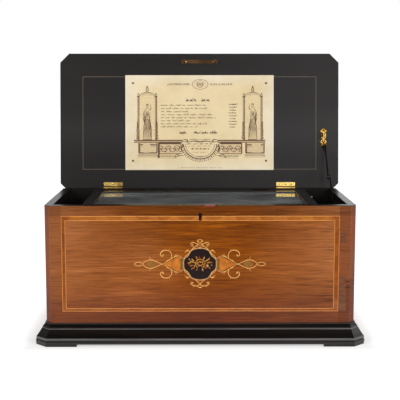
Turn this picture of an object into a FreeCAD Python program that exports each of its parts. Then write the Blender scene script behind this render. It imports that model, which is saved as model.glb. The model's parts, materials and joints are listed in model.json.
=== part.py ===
import FreeCAD, Part
import Sketcher
import math, os, re

App = FreeCAD
V = App.Vector
doc = App.newDocument("cylinder_music_box")

# ---------------------------------------------------------------- dimensions
# x runs left to right, "yf" runs back from the front face of the case and
# z runs up from the table.  front_y shifts yf into the frame of the part.
DIMS = [
    ("front_y", -152.095),
    ("case_w", 560), ("case_d", 268), ("case_top", 254.3), ("wall", 15), ("cant", 10), ("wall_foot", 8),
    ("bottom_z", 12), ("bottom_t", 10), ("plinth_top", 39.5),
    ("foot_len", 76), ("foot_h", 4.2), ("foot_d", 38.6),
    ("lid_w", 574), ("lid_front", 276), ("lid_back", 10), ("lid_t", 20), ("lid_clip", 18.5),
    ("lid_gap", 0.6), ("lid_open", 96.7), ("pin_y", 271), ("pin_rise", 0.3),
    ("knuckle_r", 2.75), ("pin_r", 1.2), ("bore_r", 1.25), ("relief_r", 3.3),
    ("hinge_x0", 158.5), ("hinge_w", 39), ("leaf_len", 11), ("leaf_t", 1.4),
    ("sheet_w", 306), ("sheet_s0", 36.2), ("sheet_s1", 231.5), ("sheet_t", 0.4),
    ("link_s0", 255.5), ("link_s1", 263.5), ("link_hw", 38),
    ("part_x", 207), ("part_t", 8), ("glass_z", 252.3), ("glass_t", 10), ("glass_y0", 17.5), ("glass_y1", 239.5),
    ("glass_hw", 214.5), ("stile", 21.5), ("pane_t", 3), ("gpin_y", 239.75), ("gpin_z", 252.7), ("rail_y", 240),
    ("bed_z", 128), ("bed_t", 10), ("bed_hw", 202), ("bed_y0", 40), ("bed_y1", 228),
    ("cyl_y", 165), ("cyl_z", 182), ("cyl_rad", 32), ("cyl_x0", -126), ("cyl_len", 272),
    ("bar_y", 121.4), ("bar_z", 176), ("bar_rad", 30), ("bar_x0", -190), ("bar_len", 36),
    ("gov_y", 135), ("gov_z", 162.1), ("worm_y", 117.6), ("worm_x", 175.5),
    ("stay_py", 110), ("stay_pz", -24), ("stay_qs", 84), ("stay_qh", 5.7), ("stay_l", 78.7), ("stay_w", 8),
    ("lock_hw", 38), ("lock_y0", 6), ("lock_h", 45),
]
sheet = doc.addObject("Spreadsheet::Sheet", "Dims")
for i, (alias, value) in enumerate(DIMS):
    sheet.set("A%d" % (i + 1), alias)
    sheet.set("B%d" % (i + 1), str(value))
    sheet.setAlias("B%d" % (i + 1), alias)
doc.recompute()
NAMES = [a for a, _ in DIMS]


class Vals(object):
    pass


d = Vals()
for a in NAMES:
    setattr(d, a, float(getattr(sheet, a)))


def ex(s):
    """Turn 'case_w/2' into 'Dims.case_w/2'."""
    return re.sub(r"[A-Za-z_][A-Za-z_0-9]*", lambda m: ("Dims." + m.group(0)) if m.group(0) in NAMES else m.group(0), str(s))


PARTS = []
count = [0]


def nm(prefix):
    count[0] += 1
    return "%s_%03d" % (prefix, count[0])


def box(x0, x1, y0, y1, z0, z1):
    o = doc.addObject("Part::Box", nm("box"))
    o.setExpression("Length", ex("(%s)-(%s)" % (x1, x0)))
    o.setExpression("Width", ex("(%s)-(%s)" % (y1, y0)))
    o.setExpression("Height", ex("(%s)-(%s)" % (z1, z0)))
    o.setExpression("Placement.Base.x", ex(x0))
    o.setExpression("Placement.Base.y", ex(y0))
    o.setExpression("Placement.Base.z", ex(z0))
    return o


ROT = {"x": App.Rotation(V(0, 1, 0), 90), "y": App.Rotation(V(1, 0, 0), -90), "z": App.Rotation()}


def cyl(axis, x, y, z, r, h):
    o = doc.addObject("Part::Cylinder", nm("cyl"))
    o.Placement = App.Placement(V(0, 0, 0), ROT[axis])
    o.setExpression("Radius", ex(r))
    o.setExpression("Height", ex(h))
    o.setExpression("Placement.Base.x", ex(x))
    o.setExpression("Placement.Base.y", ex(y))
    o.setExpression("Placement.Base.z", ex(z))
    return o


def cone(axis, x, y, z, r1, r2, h):
    o = doc.addObject("Part::Cone", nm("cone"))
    o.Placement = App.Placement(V(0, 0, 0), ROT[axis])
    o.setExpression("Radius1", ex(r1))
    o.setExpression("Radius2", ex(r2))
    o.setExpression("Height", ex(h))
    o.setExpression("Placement.Base.x", ex(x))
    o.setExpression("Placement.Base.y", ex(y))
    o.setExpression("Placement.Base.z", ex(z))
    return o


def fuse(*objs):
    if len(objs) == 1:
        return objs[0]
    o = doc.addObject("Part::MultiFuse", nm("fuse"))
    o.Shapes = list(objs)
    return o


def cut(base, *tools):
    o = doc.addObject("Part::Cut", nm("cut"))
    o.Base = base
    o.Tool = fuse(*tools)
    return o


def group(*objs):
    o = doc.addObject("Part::Compound", nm("group"))
    o.Links = list(objs)
    return o


def pad(plane, pts, start, length, holes=()):
    """Padded closed polygon.  XY pads up, YZ pads to the right, XZ pads towards the front."""
    b = doc.addObject("PartDesign::Body", nm("body"))
    sk = b.newObject("Sketcher::SketchObject", nm("sketch"))
    pl = [o for o in b.Origin.OriginFeatures if o.Role == plane + "_Plane"][0]
    sk.AttachmentSupport = [(pl, "")]
    sk.MapMode = "FlatFace"
    n = len(pts)
    num = [(numeric(p[0]), numeric(p[1])) for p in pts]
    for i in range(n):
        a, c = num[i], num[(i + 1) % n]
        sk.addGeometry(Part.LineSegment(V(a[0], a[1], 0), V(c[0], c[1], 0)), False)
    for i in range(n):
        sk.addConstraint(Sketcher.Constraint("Coincident", i, 2, (i + 1) % n, 1))
    for i in range(n):
        for kind, k in (("DistanceX", 0), ("DistanceY", 1)):
            if abs(num[i][k]) < 1e-9:
                c = sk.addConstraint(Sketcher.Constraint("PointOnObject", i, 1, -2 if k == 0 else -1))
                continue
            c = sk.addConstraint(Sketcher.Constraint(kind, -1, 1, i, 1, num[i][k]))
            if any(ch.isalpha() for ch in str(pts[i][k])):
                sk.setExpression("Constraints[%d]" % c, ex(pts[i][k]))
    for (hx, hy, hr) in holes:
        g = sk.addGeometry(Part.Circle(V(numeric(hx), numeric(hy), 0), V(0, 0, 1), numeric(hr)), False)
        c = sk.addConstraint(Sketcher.Constraint("Radius", g, numeric(hr)))
        if any(ch.isalpha() for ch in str(hr)):
            sk.setExpression("Constraints[%d]" % c, ex(hr))
        for kind, hv in (("DistanceX", hx), ("DistanceY", hy)):
            if abs(numeric(hv)) < 1e-9:
                sk.addConstraint(Sketcher.Constraint("PointOnObject", g, 3, -2 if kind == "DistanceX" else -1))
                continue
            c = sk.addConstraint(Sketcher.Constraint(kind, -1, 1, g, 3, numeric(hv)))
            if any(ch.isalpha() for ch in str(hv)):
                sk.setExpression("Constraints[%d]" % c, ex(hv))
    sk.setExpression("AttachmentOffset.Base.z", ex(start))
    p = b.newObject("PartDesign::Pad", nm("pad"))
    p.Profile = sk
    p.setExpression("Length", ex(length))
    return b


probe = doc.addObject("Part::Box", "probe")


def numeric(s):
    """Value of a dimension expression, worked out by the document itself."""
    s = str(s)
    try:
        return float(s)
    except ValueError:
        pass
    v = probe.evalExpression(ex(s)) if hasattr(probe, "evalExpression") else None
    return float(v.Value) if hasattr(v, "Value") else float(v)


def name(label, o):
    o.Label = label
    PARTS.append(o)
    return o


def world(label, o):
    """Case pieces: carried from yf into the frame of the part."""
    base_y = "0"
    for p, e in o.ExpressionEngine:
        if p.strip(".") == "Placement.Base.y":
            base_y = e
    o.setExpression("Placement.Base.y", "Dims.front_y+(%s)" % base_y)
    return name(label, o)


def on_lid(label, o):
    """Lid pieces: drawn closed, with y and z from the hinge pin, then swung open."""
    o.Placement = App.Placement(V(0, 0, 0), App.Rotation(V(1, 0, 0), -d.lid_open))
    o.setExpression("Placement.Base.y", ex("front_y+pin_y"))
    o.setExpression("Placement.Base.z", ex("case_top+pin_rise"))
    o.setExpression("Placement.Rotation.Angle", ex("0-lid_open"))
    return name(label, o)


def feature(shape, yexp="front_y", zexp="0", xexp="0"):
    o = doc.addObject("Part::Feature", nm("feat"))
    o.Shape = shape
    o.setExpression("Placement.Base.x", ex(xexp))
    o.setExpression("Placement.Base.y", ex(yexp))
    o.setExpression("Placement.Base.z", ex(zexp))
    return o


HW = "case_w/2"
# ---------------------------------------------------------------- case walls
def wall_board(outer, inner):
    s = 1 if inner > outer else -1
    o, i = outer, inner
    c = "cant" if s > 0 else "(0-cant)"
    return pad("XY", [("0-case_w/2", "%s+%s" % (o, c)), ("cant-case_w/2", o), ("case_w/2-cant", o), ("case_w/2", "%s+%s" % (o, c)),
                      ("case_w/2", i), ("0-case_w/2", i)], "wall_foot", "case_top-wall_foot")


fw = pad("XY", [("0-case_w/2", "cant"), ("cant-case_w/2", "0"), ("case_w/2-cant", "0"), ("case_w/2", "cant"),
                ("case_w/2", "wall"), ("0-case_w/2", "wall")], "wall_foot", "case_top-wall_foot")
# lock mortise open to the inside and top, keyhole through to the front
mort = box("0-lock_hw", "lock_hw", "lock_y0", "wall+1", "case_top-lock_h", "case_top+1")
key1 = cyl("y", "0", "-1", "237.4", "2.6", "wall+3")
key2 = box("-1.5", "1.5", "-1", "wall+2", "229.6", "237.4")
world("front_wall", cut(fw, mort, key1, key2))

bw = pad("XY", [("0-case_w/2", "case_d-cant"), ("cant-case_w/2", "case_d"), ("case_w/2-cant", "case_d"), ("case_w/2", "case_d-cant"),
                ("case_w/2", "case_d-wall"), ("0-case_w/2", "case_d-wall")], "wall_foot", "case_top-wall_foot")
recs = []
for sx in (-1, 1):
    x0 = "hinge_x0" if sx > 0 else "0-hinge_x0-hinge_w"
    recs.append(box(x0, "(%s)+hinge_w" % x0, "case_d-leaf_len", "case_d+1", "case_top-leaf_t", "case_top+1"))
world("back_wall", cut(bw, *recs))

world("left_wall", pad("XY", [("0-case_w/2", "wall"), ("wall-case_w/2", "wall"), ("wall-case_w/2", "case_d-wall"), ("0-case_w/2", "case_d-wall")],
                       "wall_foot", "case_top-wall_foot"))
world("right_wall", pad("XY", [("case_w/2-wall", "wall"), ("case_w/2", "wall"), ("case_w/2", "case_d-wall"), ("case_w/2-wall", "case_d-wall")],
                        "wall_foot", "case_top-wall_foot"))
world("bottom_board", pad("XY", [("wall-case_w/2", "wall"), ("case_w/2-wall", "wall"), ("case_w/2-wall", "case_d-wall"), ("wall-case_w/2", "case_d-wall")],
                          "bottom_z", "bottom_t"))

# ---------------------------------------------------------------- plinth
# Section of the plinth moulding: outward offset against height.
def plinth_wire(ax, ay, mx, my):
    """Section standing on vertex (ax, ay); (mx, my) is the mitre direction for one unit of offset."""
    def P(o, z):
        return V(ax + mx * o, ay + my * o, z)
    top = d.plinth_top
    e = []
    e.append(Part.makeLine(P(0, 4.5), P(0, top)))
    e.append(Part.makeLine(P(0, top), P(2.4, top)))
    e.append(Part.makeLine(P(2.4, top), P(2.4, top - 1.7)))
    for pts in ([(2.4, top - 1.7), (4.6, 35.4), (6.6, 32.6), (7.6, 29.4)],
                [(7.6, 29.4), (8.7, 28.8)],
                [(8.7, 28.8), (10.6, 25.4), (13.2, 21.2), (16.4, 17.0)],
                [(16.4, 17.0), (17.6, 15.5), (18.2, 14.1), (18.3, 12.8)]):
        if len(pts) == 2:
            e.append(Part.makeLine(P(*pts[0]), P(*pts[1])))
            continue
        c = Part.BSplineCurve()
        c.interpolate([P(o, z) for o, z in pts])
        e.append(c.toShape())
    low = [(18.3, 12.8), (18.3, 10.2), (17.6, 9.7), (17.6, 9.2), (18.8, 8.9), (19.173, 8.4), (19.173, 4.5), (0, 4.5)]
    for p, q in zip(low, low[1:]):
        e.append(Part.makeLine(P(*p), P(*q)))
    return Part.Wire(e)


T = math.tan(math.radians(22.5))
hw, dd, ct = d.case_w / 2, d.case_d, d.cant
FL1, FR1 = (-hw + ct, 0.0), (hw - ct, 0.0)
FL2, FR2 = (-hw, ct), (hw, ct)
BL1, BR1 = (-hw + ct, dd), (hw - ct, dd)
BL2, BR2 = (-hw, dd - ct), (hw, dd - ct)
MIT = {FL1: (-T, -1), FR1: (T, -1), FL2: (-1, -T), FR2: (1, -T), BL1: (-T, 1), BR1: (T, 1), BL2: (-1, T), BR2: (1, T)}


def run(a, b):
    return Part.makeLoft([plinth_wire(a[0], a[1], *MIT[a]), plinth_wire(b[0], b[1], *MIT[b])], True, True)


name("plinth_rails", feature(Part.makeCompound([run(FL1, FR1), run(BR1, BL1)])))
name("plinth_sides", feature(Part.makeCompound([run(BL2, FL2), run(FR2, BR2)])))
name("plinth_corners", feature(Part.makeCompound([run(FL2, FL1), run(FR1, FR2), run(BR2, BR1), run(BL1, BL2)])))
# low corner feet under the walls and moulding, clipped like the plinth
feet = []
for sx in (-1, 1):
    for sy in (-1, 1):
        o = 18.6
        x1, x0, xs = sx * (hw + o), sx * (hw + o - d.foot_len), sx * (hw - ct + o * T)
        y1 = -o if sy < 0 else dd + o
        y0 = y1 + (d.foot_d if sy < 0 else -d.foot_d)
        ys = (ct - o * T) if sy < 0 else (dd - ct + o * T)
        pts = [V(x0, y1, 0), V(xs, y1, 0), V(x1, ys, 0), V(x1, y0, 0), V(x0, y0, 0)]
        feet.append(Part.Face(Part.makePolygon(pts + [pts[0]])).extrude(V(0, 0, d.foot_h)))
name("corner_feet", feature(Part.makeCompound(feet)))

# ---------------------------------------------------------------- inside woodwork
holeL = cyl("x", "0-part_x-part_t-1", "bar_y", "bar_z", "7", "part_t+2")
world("partition_left", cut(box("0-part_x-part_t", "0-part_x", "wall", "case_d-wall", "bottom_z+bottom_t", "glass_z-glass_t-0.5"), holeL))
world("partition_right", box("part_x", "part_x+part_t", "wall", "case_d-wall", "bottom_z+bottom_t", "glass_z-glass_t-0.5"))
railrec = []
for sx in (-1, 1):
    x0 = "110" if sx > 0 else "-140"
    railrec.append(box(x0, "(%s)+30" % x0, "rail_y-1", "rail_y+7.5", "glass_z-1.0", "glass_z+1"))
    railrec.append(cyl("x", "(%s)-0.3" % x0, "gpin_y", "gpin_z", "2.1", "30.6"))
world("hinge_rail", cut(box("0-part_x-part_t", "part_x+part_t", "rail_y", "case_d-wall", "glass_z-glass_t", "glass_z"), *railrec))
world("bed_bearers", group(box("0-part_x", "0-part_x+22", "wall", "case_d-wall", "bottom_z+bottom_t", "bed_z"),
                           box("part_x-22", "part_x", "wall", "case_d-wall", "bottom_z+bottom_t", "bed_z")))

# ---------------------------------------------------------------- lock
lk = box("0-lock_hw", "lock_hw", "lock_y0", "wall", "case_top-lock_h", "case_top")
lcav = box("1.2-lock_hw", "lock_hw-1.2", "lock_y0+1.2", "wall+1", "case_top-lock_h+1.2", "case_top-1.6")
ls1 = box("28", "33", "lock_y0+1.6", "wall-0.2", "case_top-3", "case_top+1")
ls2 = box("-33", "-28", "lock_y0+1.6", "wall-0.2", "case_top-3", "case_top+1")
lkey = cyl("y", "0", "lock_y0-1", "237.4", "2.4", "4")
world("lock_case", cut(lk, lcav, ls1, ls2, lkey))
world("lock_cap", box("0-lock_hw", "lock_hw", "wall", "wall+1", "case_top-lock_h", "case_top-0.5"))
bolt = fuse(box("-36", "24", "9.8", "12.7", "case_top-19", "case_top-15"),
            box("-36", "-33.2", "9.8", "12.7", "case_top-16", "case_top-8"), box("-34", "-32.2", "9.8", "12.7", "case_top-11", "case_top-8"),
            box("21.2", "24", "9.8", "12.7", "case_top-16", "case_top-8"), box("23", "28.2", "9.8", "12.7", "case_top-11", "case_top-8"))
world("lock_bolt", bolt)

# ---------------------------------------------------------------- main lid (drawn closed from the hinge pin: y = -distance in front)
U = "lid_gap-pin_rise"
lw = "lid_w/2"
panel = pad("XY", [("0-lid_w/2", "lid_back-lid_clip"), ("lid_clip-lid_w/2", "lid_back"), ("lid_w/2-lid_clip", "lid_back"), ("lid_w/2", "lid_back-lid_clip"),
                   ("lid_w/2", "lid_clip-lid_front"), ("lid_w/2-lid_clip", "0-lid_front"), ("lid_clip-lid_w/2", "0-lid_front"), ("0-lid_w/2", "lid_clip-lid_front")],
            U, "lid_t")
lidcuts = []
for sx in (-1, 1):
    x0 = "hinge_x0" if sx > 0 else "0-hinge_x0-hinge_w"
    lidcuts.append(box(x0, "(%s)+hinge_w" % x0, "0-leaf_len", "0", "%s-1" % U, "%s+leaf_t" % U))
    lidcuts.append(cyl("x", "(%s)-0.4" % x0, "0", "0", "relief_r", "hinge_w+0.8"))
lidcuts.append(box("0-link_hw", "link_hw", "0-link_s1", "0-link_s0", "%s-1" % U, "%s+1.6" % U))
on_lid("main_lid", cut(panel, *lidcuts))
on_lid("tune_sheet", pad("XY", [("0-sheet_w/2", "0-sheet_s1"), ("sheet_w/2", "0-sheet_s1"), ("sheet_w/2", "0-sheet_s0"), ("0-sheet_w/2", "0-sheet_s0")],
                         "%s-sheet_t" % U, "sheet_t"))
tacks = []
for tx, ts in ((-137.3, 55.2), (137.3, 55.2), (-137.3, 215.2), (137.3, 215.2)):
    tacks.append(cone("z", tx, -ts, "%s-sheet_t-1.2" % U, "1.2", "2.2", "1.2"))
on_lid("sheet_tacks", group(*tacks))
# link plate with two staples that drop into the lock
ears = []
for x0 in (-32, 29.3):
    ears.append(cut(box(x0, x0 + 2.7, "0-pin_y+lock_y0+2.2", "0-pin_y+wall-0.9", "-14.5", "%s+0.6" % U),
                    box(x0 - 1, x0 + 3.7, "0-pin_y+9.4", "0-pin_y+13.1", "0-pin_rise-11.6", "0-pin_rise-7.2")))
on_lid("lock_link_plate", fuse(box("0.15-link_hw", "link_hw-0.15", "0.15-link_s1", "0-link_s0-0.15", U, "%s+1.5" % U), *ears))

# butt hinges: outer knuckles on the case, middle knuckle on the lid
def leaf_lid(x0):
    a, b = "(%s)+13.15" % x0, "(%s)+25.85" % x0
    s = fuse(box("(%s)+0.15" % x0, "(%s)+hinge_w-0.15" % x0, "0.15-leaf_len", "-3.05", U, "%s+leaf_t-0.05" % U),
             box(a, b, "-4", "0", U, "%s+leaf_t-0.05" % U), cyl("x", a, "0", "0", "knuckle_r", "12.7"))
    return cut(s, cyl("x", "(%s)-1" % x0, "0", "0", "bore_r", "hinge_w+2"))


def leaf_case(x0):
    z1 = "0-pin_rise"
    s = fuse(box("(%s)+0.15" % x0, "(%s)+hinge_w-0.15" % x0, "case_d-leaf_len-pin_y+0.15", "-3.05", "%s-leaf_t+0.05" % z1, z1),
             box("(%s)+0.15" % x0, "(%s)+13" % x0, "-4", "0", "%s-leaf_t+0.05" % z1, z1),
             box("(%s)+26" % x0, "(%s)+hinge_w-0.15" % x0, "-4", "0", "%s-leaf_t+0.05" % z1, z1),
             cyl("x", "(%s)+0.15" % x0, "0", "0", "knuckle_r", "12.85"), cyl("x", "(%s)+26" % x0, "0", "0", "knuckle_r", "12.85"))
    return cut(s, cyl("x", "(%s)-1" % x0, "0", "0", "bore_r", "hinge_w+2"))


HL, HR = "0-hinge_x0-hinge_w", "hinge_x0"


def scr_cuts(x0, y, z, up):
    out = []
    for dx in (7, 19.5, 32):
        if up:
            out.append(cone("z", "(%s)+%s" % (x0, dx), y, z, "1.0", "2.0", "1.0"))
        else:
            out.append(cone("z", "(%s)+%s" % (x0, dx), y, z, "2.0", "1.0", "1.0"))
    return out


on_lid("lid_hinge_leaves", group(cut(leaf_lid(HL), *[cyl("z", "(%s)+%s" % (HL, dx), "-7.2", "-1", "2.0", "4") for dx in (7, 19.5, 32)]),
                                 cut(leaf_lid(HR), *[cyl("z", "(%s)+%s" % (HR, dx), "-7.2", "-1", "2.0", "4") for dx in (7, 19.5, 32)])))
on_lid("lid_hinge_screws", group(*[fuse(cyl("z", "(%s)+%s" % (x0, dx), "-7.2", "%s+0.1" % U, "1.95", "1.2")) for x0 in (HL, HR) for dx in (7, 19.5, 32)]))
cl = group(cut(leaf_case(HL), *[cyl("z", "(%s)+%s" % (HL, dx), "-8.2", "-3", "2.0", "4") for dx in (7, 19.5, 32)]),
           cut(leaf_case(HR), *[cyl("z", "(%s)+%s" % (HR, dx), "-8.2", "-3", "2.0", "4") for dx in (7, 19.5, 32)]))
cl.setExpression("Placement.Base.y", ex("front_y+pin_y"))
cl.setExpression("Placement.Base.z", ex("case_top+pin_rise"))
name("case_hinge_leaves", cl)
cs = group(*[cyl("z", "(%s)+%s" % (x0, dx), "-8.2", "0-pin_rise-leaf_t+0.1", "1.95", "1.2") for x0 in (HL, HR) for dx in (7, 19.5, 32)])
cs.setExpression("Placement.Base.y", ex("front_y+pin_y"))
cs.setExpression("Placement.Base.z", ex("case_top+pin_rise"))
name("case_hinge_screws", cs)
world("lid_hinge_pins", group(cyl("x", "%s+0.1" % HL, "pin_y", "case_top+pin_rise", "pin_r", "hinge_w-0.2"),
                              cyl("x", "%s+0.1" % HR, "pin_y", "case_top+pin_rise", "pin_r", "hinge_w-0.2")))

# ---------------------------------------------------------------- folding lid stay (two equal links)
al = math.radians(d.lid_open)
P = (d.stay_py, d.stay_pz)
Q = (d.stay_qs * math.cos(al) + d.stay_qh * math.sin(al), d.stay_qs * math.sin(al) - d.stay_qh * math.cos(al))


def elbow(p, q, l, side):
    mx, mz = (p[0] + q[0]) / 2, (p[1] + q[1]) / 2
    dx, dz = q[0] - p[0], q[1] - p[1]
    h = math.hypot(dx, dz)
    k = math.sqrt(max(l * l - h * h / 4, 0)) / h
    return (mx - side * dz * k, mz + side * dx * k)


EO = elbow(P, Q, d.stay_l, 1)
QC = (d.stay_qs, -d.stay_qh)
EC = elbow(P, QC, d.stay_l, 1)
if EC[1] > -30:
    EC = elbow(P, QC, d.stay_l, -1)
lo_open = math.degrees(math.atan2(EO[1] - P[1], EO[0] - P[0]))
lo_closed = math.degrees(math.atan2(EC[1] - P[1], EC[0] - P[0]))
up_open = math.degrees(math.atan2(EO[1] - Q[1], EO[0] - Q[0])) - d.lid_open
up_closed = math.degrees(math.atan2(EC[1] - QC[1], EC[0] - QC[0]))
print("stay P", P, "Q open", Q, "elbow open", EO, "closed", EC)
print("lower link angle open %.4f closed %.4f  turn %.4f" % (lo_open, lo_closed, (lo_closed - lo_open)))
print("upper link angle in lid open %.4f closed %.4f turn %.4f" % (up_open, up_closed, up_closed - up_open))


def link_shape(x0, t, l, w, r_hole, grow):
    """Flat bar with round eyes lying along +y from the pivot at the origin; the eye at the start is bored."""
    bar = Part.makeBox(t, l, w, V(x0, 0, -w / 2))
    e1 = Part.makeCylinder(w / 2 + grow, t, V(x0, 0, 0), V(1, 0, 0))
    e2 = Part.makeCylinder(w / 2 + 1.0, t, V(x0, l, 0), V(1, 0, 0))
    s = bar.fuse([e1, e2]).removeSplitter()
    return s.cut(Part.makeCylinder(r_hole, t + 2, V(x0 - 1, 0, 0), V(1, 0, 0)))


def forward_angle(a):
    """Rotation about +x that lays +y (backwards) along the direction a, given as forward/up."""
    return App.Rotation(V(1, 0, 0), math.degrees(math.atan2(math.sin(math.radians(a)), -math.cos(math.radians(a)))))


low = doc.addObject("Part::Feature", "stay_low")
low.Shape = link_shape(261.2, 2.0, d.stay_l, d.stay_w, 2.55, 1.2)
low.Placement = App.Placement(V(0, 0, 0), forward_angle(lo_open))
low.setExpression("Placement.Base.y", ex("front_y+pin_y-stay_py"))
low.setExpression("Placement.Base.z", ex("case_top+pin_rise+stay_pz"))
name("stay_lower_link", low)
up = doc.addObject("Part::Feature", "stay_up")
us = link_shape(257.7, 2.2, d.stay_l, d.stay_w, 2.05, 0.2)
us = us.fuse(Part.makeCylinder(3.2, 1.4, V(256.3, d.stay_l, 0), V(1, 0, 0)))
up.Shape = us
up.Placement = App.Placement(V(0, d.front_y + d.pin_y - Q[0], d.case_top + d.pin_rise + Q[1]), forward_angle(up_open + d.lid_open))
name("stay_upper_link", up)
stud = fuse(cyl("x", "260.9", "pin_y-stay_py", "case_top+pin_rise+stay_pz", "2.5", "4.1"),
            cyl("x", "260.2", "pin_y-stay_py", "case_top+pin_rise+stay_pz", "4", "0.85"),
            cyl("x", "263.35", "pin_y-stay_py", "case_top+pin_rise+stay_pz", "6.5", "1.65"))
world("stay_wall_stud", stud)
# bracket: shaped plate screwed to the lid, an ear and its pivot, and a catch hook
pl_pts = [(253, -83), (259, -83), (262.4, -87), (262.4, -96), (260.4, -99), (260.4, -108), (262.4, -111), (262.4, -119), (258, -123.5), (254, -123.5),
          (249.6, -119), (249.6, -111), (251.6, -108), (251.6, -99), (249.6, -96), (249.6, -87)]
pl_pts = [(x, y) for x, y in pl_pts]
plate = pad("XY", pl_pts, "%s-1.4" % U, "1.4")
ear = fuse(box("255.2", "257.3", "0-stay_qs-5.5", "0-stay_qs+5.5", "0-stay_qh-3", "%s-0.6" % U),
           cyl("x", "255.2", "0-stay_qs", "0-stay_qh", "4.2", "2.1"),
           cyl("x", "254.6", "0-stay_qs", "0-stay_qh", "2.0", "6.0"))
catch = fuse(box("251.5", "254.2", "-112", "-104", "%s-8" % U, "%s-0.6" % U), cyl("x", "251.5", "-108", "%s-8" % U, "4", "2.7"))
sc = fuse(cyl("z", "256", "-92", "%s-2.2" % U, "2.4", "1.2"), cyl("z", "256", "-118", "%s-2.2" % U, "2.4", "1.2"))
on_lid("stay_bracket", fuse(plate, ear, catch, sc))

# ---------------------------------------------------------------- inner glazed lid
gz0, gz1 = "glass_z-glass_t", "glass_z"
reb = box("stile-4-glass_hw", "glass_hw-stile+4", "glass_y0+stile-4", "glass_y1-stile+4", "glass_z-2.0-pane_t", "glass_z-2.0")
# front and back rails run between the stiles
world("glass_rail_front", cut(box("stile-glass_hw", "glass_hw-stile", "glass_y0", "glass_y0+stile", gz0, gz1),
                              box("stile-glass_hw-1", "glass_hw-stile+1", "glass_y0+stile-4", "glass_y0+stile+1", "glass_z-2.1-pane_t", "glass_z-2.0")))
grec = []
for sx in (-1, 1):
    x0 = "110" if sx > 0 else "-140"
    grec.append(box(x0, "(%s)+30" % x0, "glass_y1-7.5", "glass_y1+1", "glass_z-1.0", "glass_z+1"))
    grec.append(cyl("x", "(%s)-0.3" % x0, "gpin_y", "gpin_z", "2.1", "30.6"))
world("glass_rail_back", cut(box("stile-glass_hw", "glass_hw-stile", "glass_y1-stile", "glass_y1", gz0, gz1),
                             box("stile-glass_hw-1", "glass_hw-stile+1", "glass_y1-stile-1", "glass_y1-stile+4", "glass_z-2.1-pane_t", "glass_z-2.0"), *grec))
world("glass_stiles", group(cut(box("0-glass_hw", "stile-glass_hw", "glass_y0", "glass_y1", gz0, gz1),
                              box("stile-4-glass_hw", "stile-glass_hw+1", "glass_y0+stile-4", "glass_y1-stile+4", "glass_z-2.1-pane_t", "glass_z-2.0")),
                            cut(box("glass_hw-stile", "glass_hw", "glass_y0", "glass_y1", gz0, gz1),
                                box("glass_hw-stile-1", "glass_hw-stile+4", "glass_y0+stile-4", "glass_y1-stile+4", "glass_z-2.1-pane_t", "glass_z-2.0"))))
world("glass_pane", box("stile-3.8-glass_hw", "glass_hw-stile+3.8", "glass_y0+stile-3.8", "glass_y1-stile+3.8", "glass_z-2.05-pane_t", "glass_z-2.05"))


def small_leaf(x0, side):
    a = [(0.1, 9.9), (20.1, 29.9)] if side < 0 else [(10.1, 19.9)]
    ya, yb = ("glass_y1-7.35", "gpin_y-2.0") if side > 0 else ("gpin_y+2.0", "rail_y+7.35")
    bits = [box("(%s)+0.15" % x0, "(%s)+29.85" % x0, ya, yb, "glass_z-0.95", "glass_z")]
    for p, q in a:
        bits.append(box("(%s)+%s" % (x0, p), "(%s)+%s" % (x0, q), "gpin_y-2.2" if side > 0 else "gpin_y", "gpin_y" if side > 0 else "gpin_y+2.2",
                        "glass_z-0.95", "glass_z"))
        bits.append(cyl("x", "(%s)+%s" % (x0, p), "gpin_y", "gpin_z", "1.8", q - p))
    return cut(fuse(*bits), cyl("x", "(%s)-1" % x0, "gpin_y", "gpin_z", "0.85", "32"))


world("glass_lid_leaves", group(small_leaf("-140", 1), small_leaf("110", 1)))
world("glass_case_hinges", group(small_leaf("-140", -1), small_leaf("110", -1), cyl("x", "-139.8", "gpin_y", "gpin_z", "0.8", "29.6"), cyl("x", "110.2", "gpin_y", "gpin_z", "0.8", "29.6")))
# silk pull tab: glued on the front rail and laid over the front wall
world("pull_ribbon", pad("YZ", [(3.0, "case_top+0.08"), (16.2, "case_top+0.08"), (18.6, "glass_z+0.02"), (32.0, "glass_z+0.02"), (32.0, "glass_z+0.3"),
                                (18.9, "glass_z+0.3"), (16.5, "case_top+0.36"), (3.0, "case_top+0.36")], "7", "19"))

# ---------------------------------------------------------------- movement: bedplate and bridges
bed = box("0-bed_hw", "bed_hw", "bed_y0", "bed_y1", "bed_z", "bed_z+bed_t")
world("bedplate", bed)
BT = "bed_z+bed_t"
bs = []
for bx in (-194, 194):
    for by in (50, 218):
        bs.append(fuse(cyl("z", bx, by, BT, "5", "3"), ))


def bridge(x0, t, pts, holes):
    return pad("YZ", pts, x0, t, holes)


# the outer bridge also carries the pin of the click
world("barrel_bridge", fuse(bridge("-200", "6", [(100, BT), (162, BT), (162, "bed_z+bed_t+8"), (157, "bed_z+bed_t+18"), (157, "bar_z+5"), (146, "bar_z+5"), (144, "bed_z+bed_t+24"),
                                                 (136, "bed_z+bed_t+24"), (132, "bar_z+10"), (126, "bar_z+15"), (117, "bar_z+15"),
                                                 (111, "bar_z+10"), (109, "bed_z+bed_t+20"), (100, "bed_z+bed_t+8")], [("bar_y", "bar_z", "4.05")]),
                            cyl("x", "-205.4", "bar_y+30", "bar_z", "1.5", "6")))
world("centre_bridge", bridge("-145", "7", [(100, BT), (190, BT), (190, "bed_z+bed_t+10"), (178, "bed_z+bed_t+20"), (176, "cyl_z+12"), (169, "cyl_z+18"), (161, "cyl_z+18"),
                                            (152, "cyl_z+10"), (134, "bar_z+14"), (126, "bar_z+17"), (117, "bar_z+17"), (109, "bar_z+10"), (107, "bed_z+bed_t+20"), (100, "bed_z+bed_t+10")],
                              [("bar_y", "bar_z", "4.05"), ("cyl_y", "cyl_z", "3.55")]))
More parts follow.
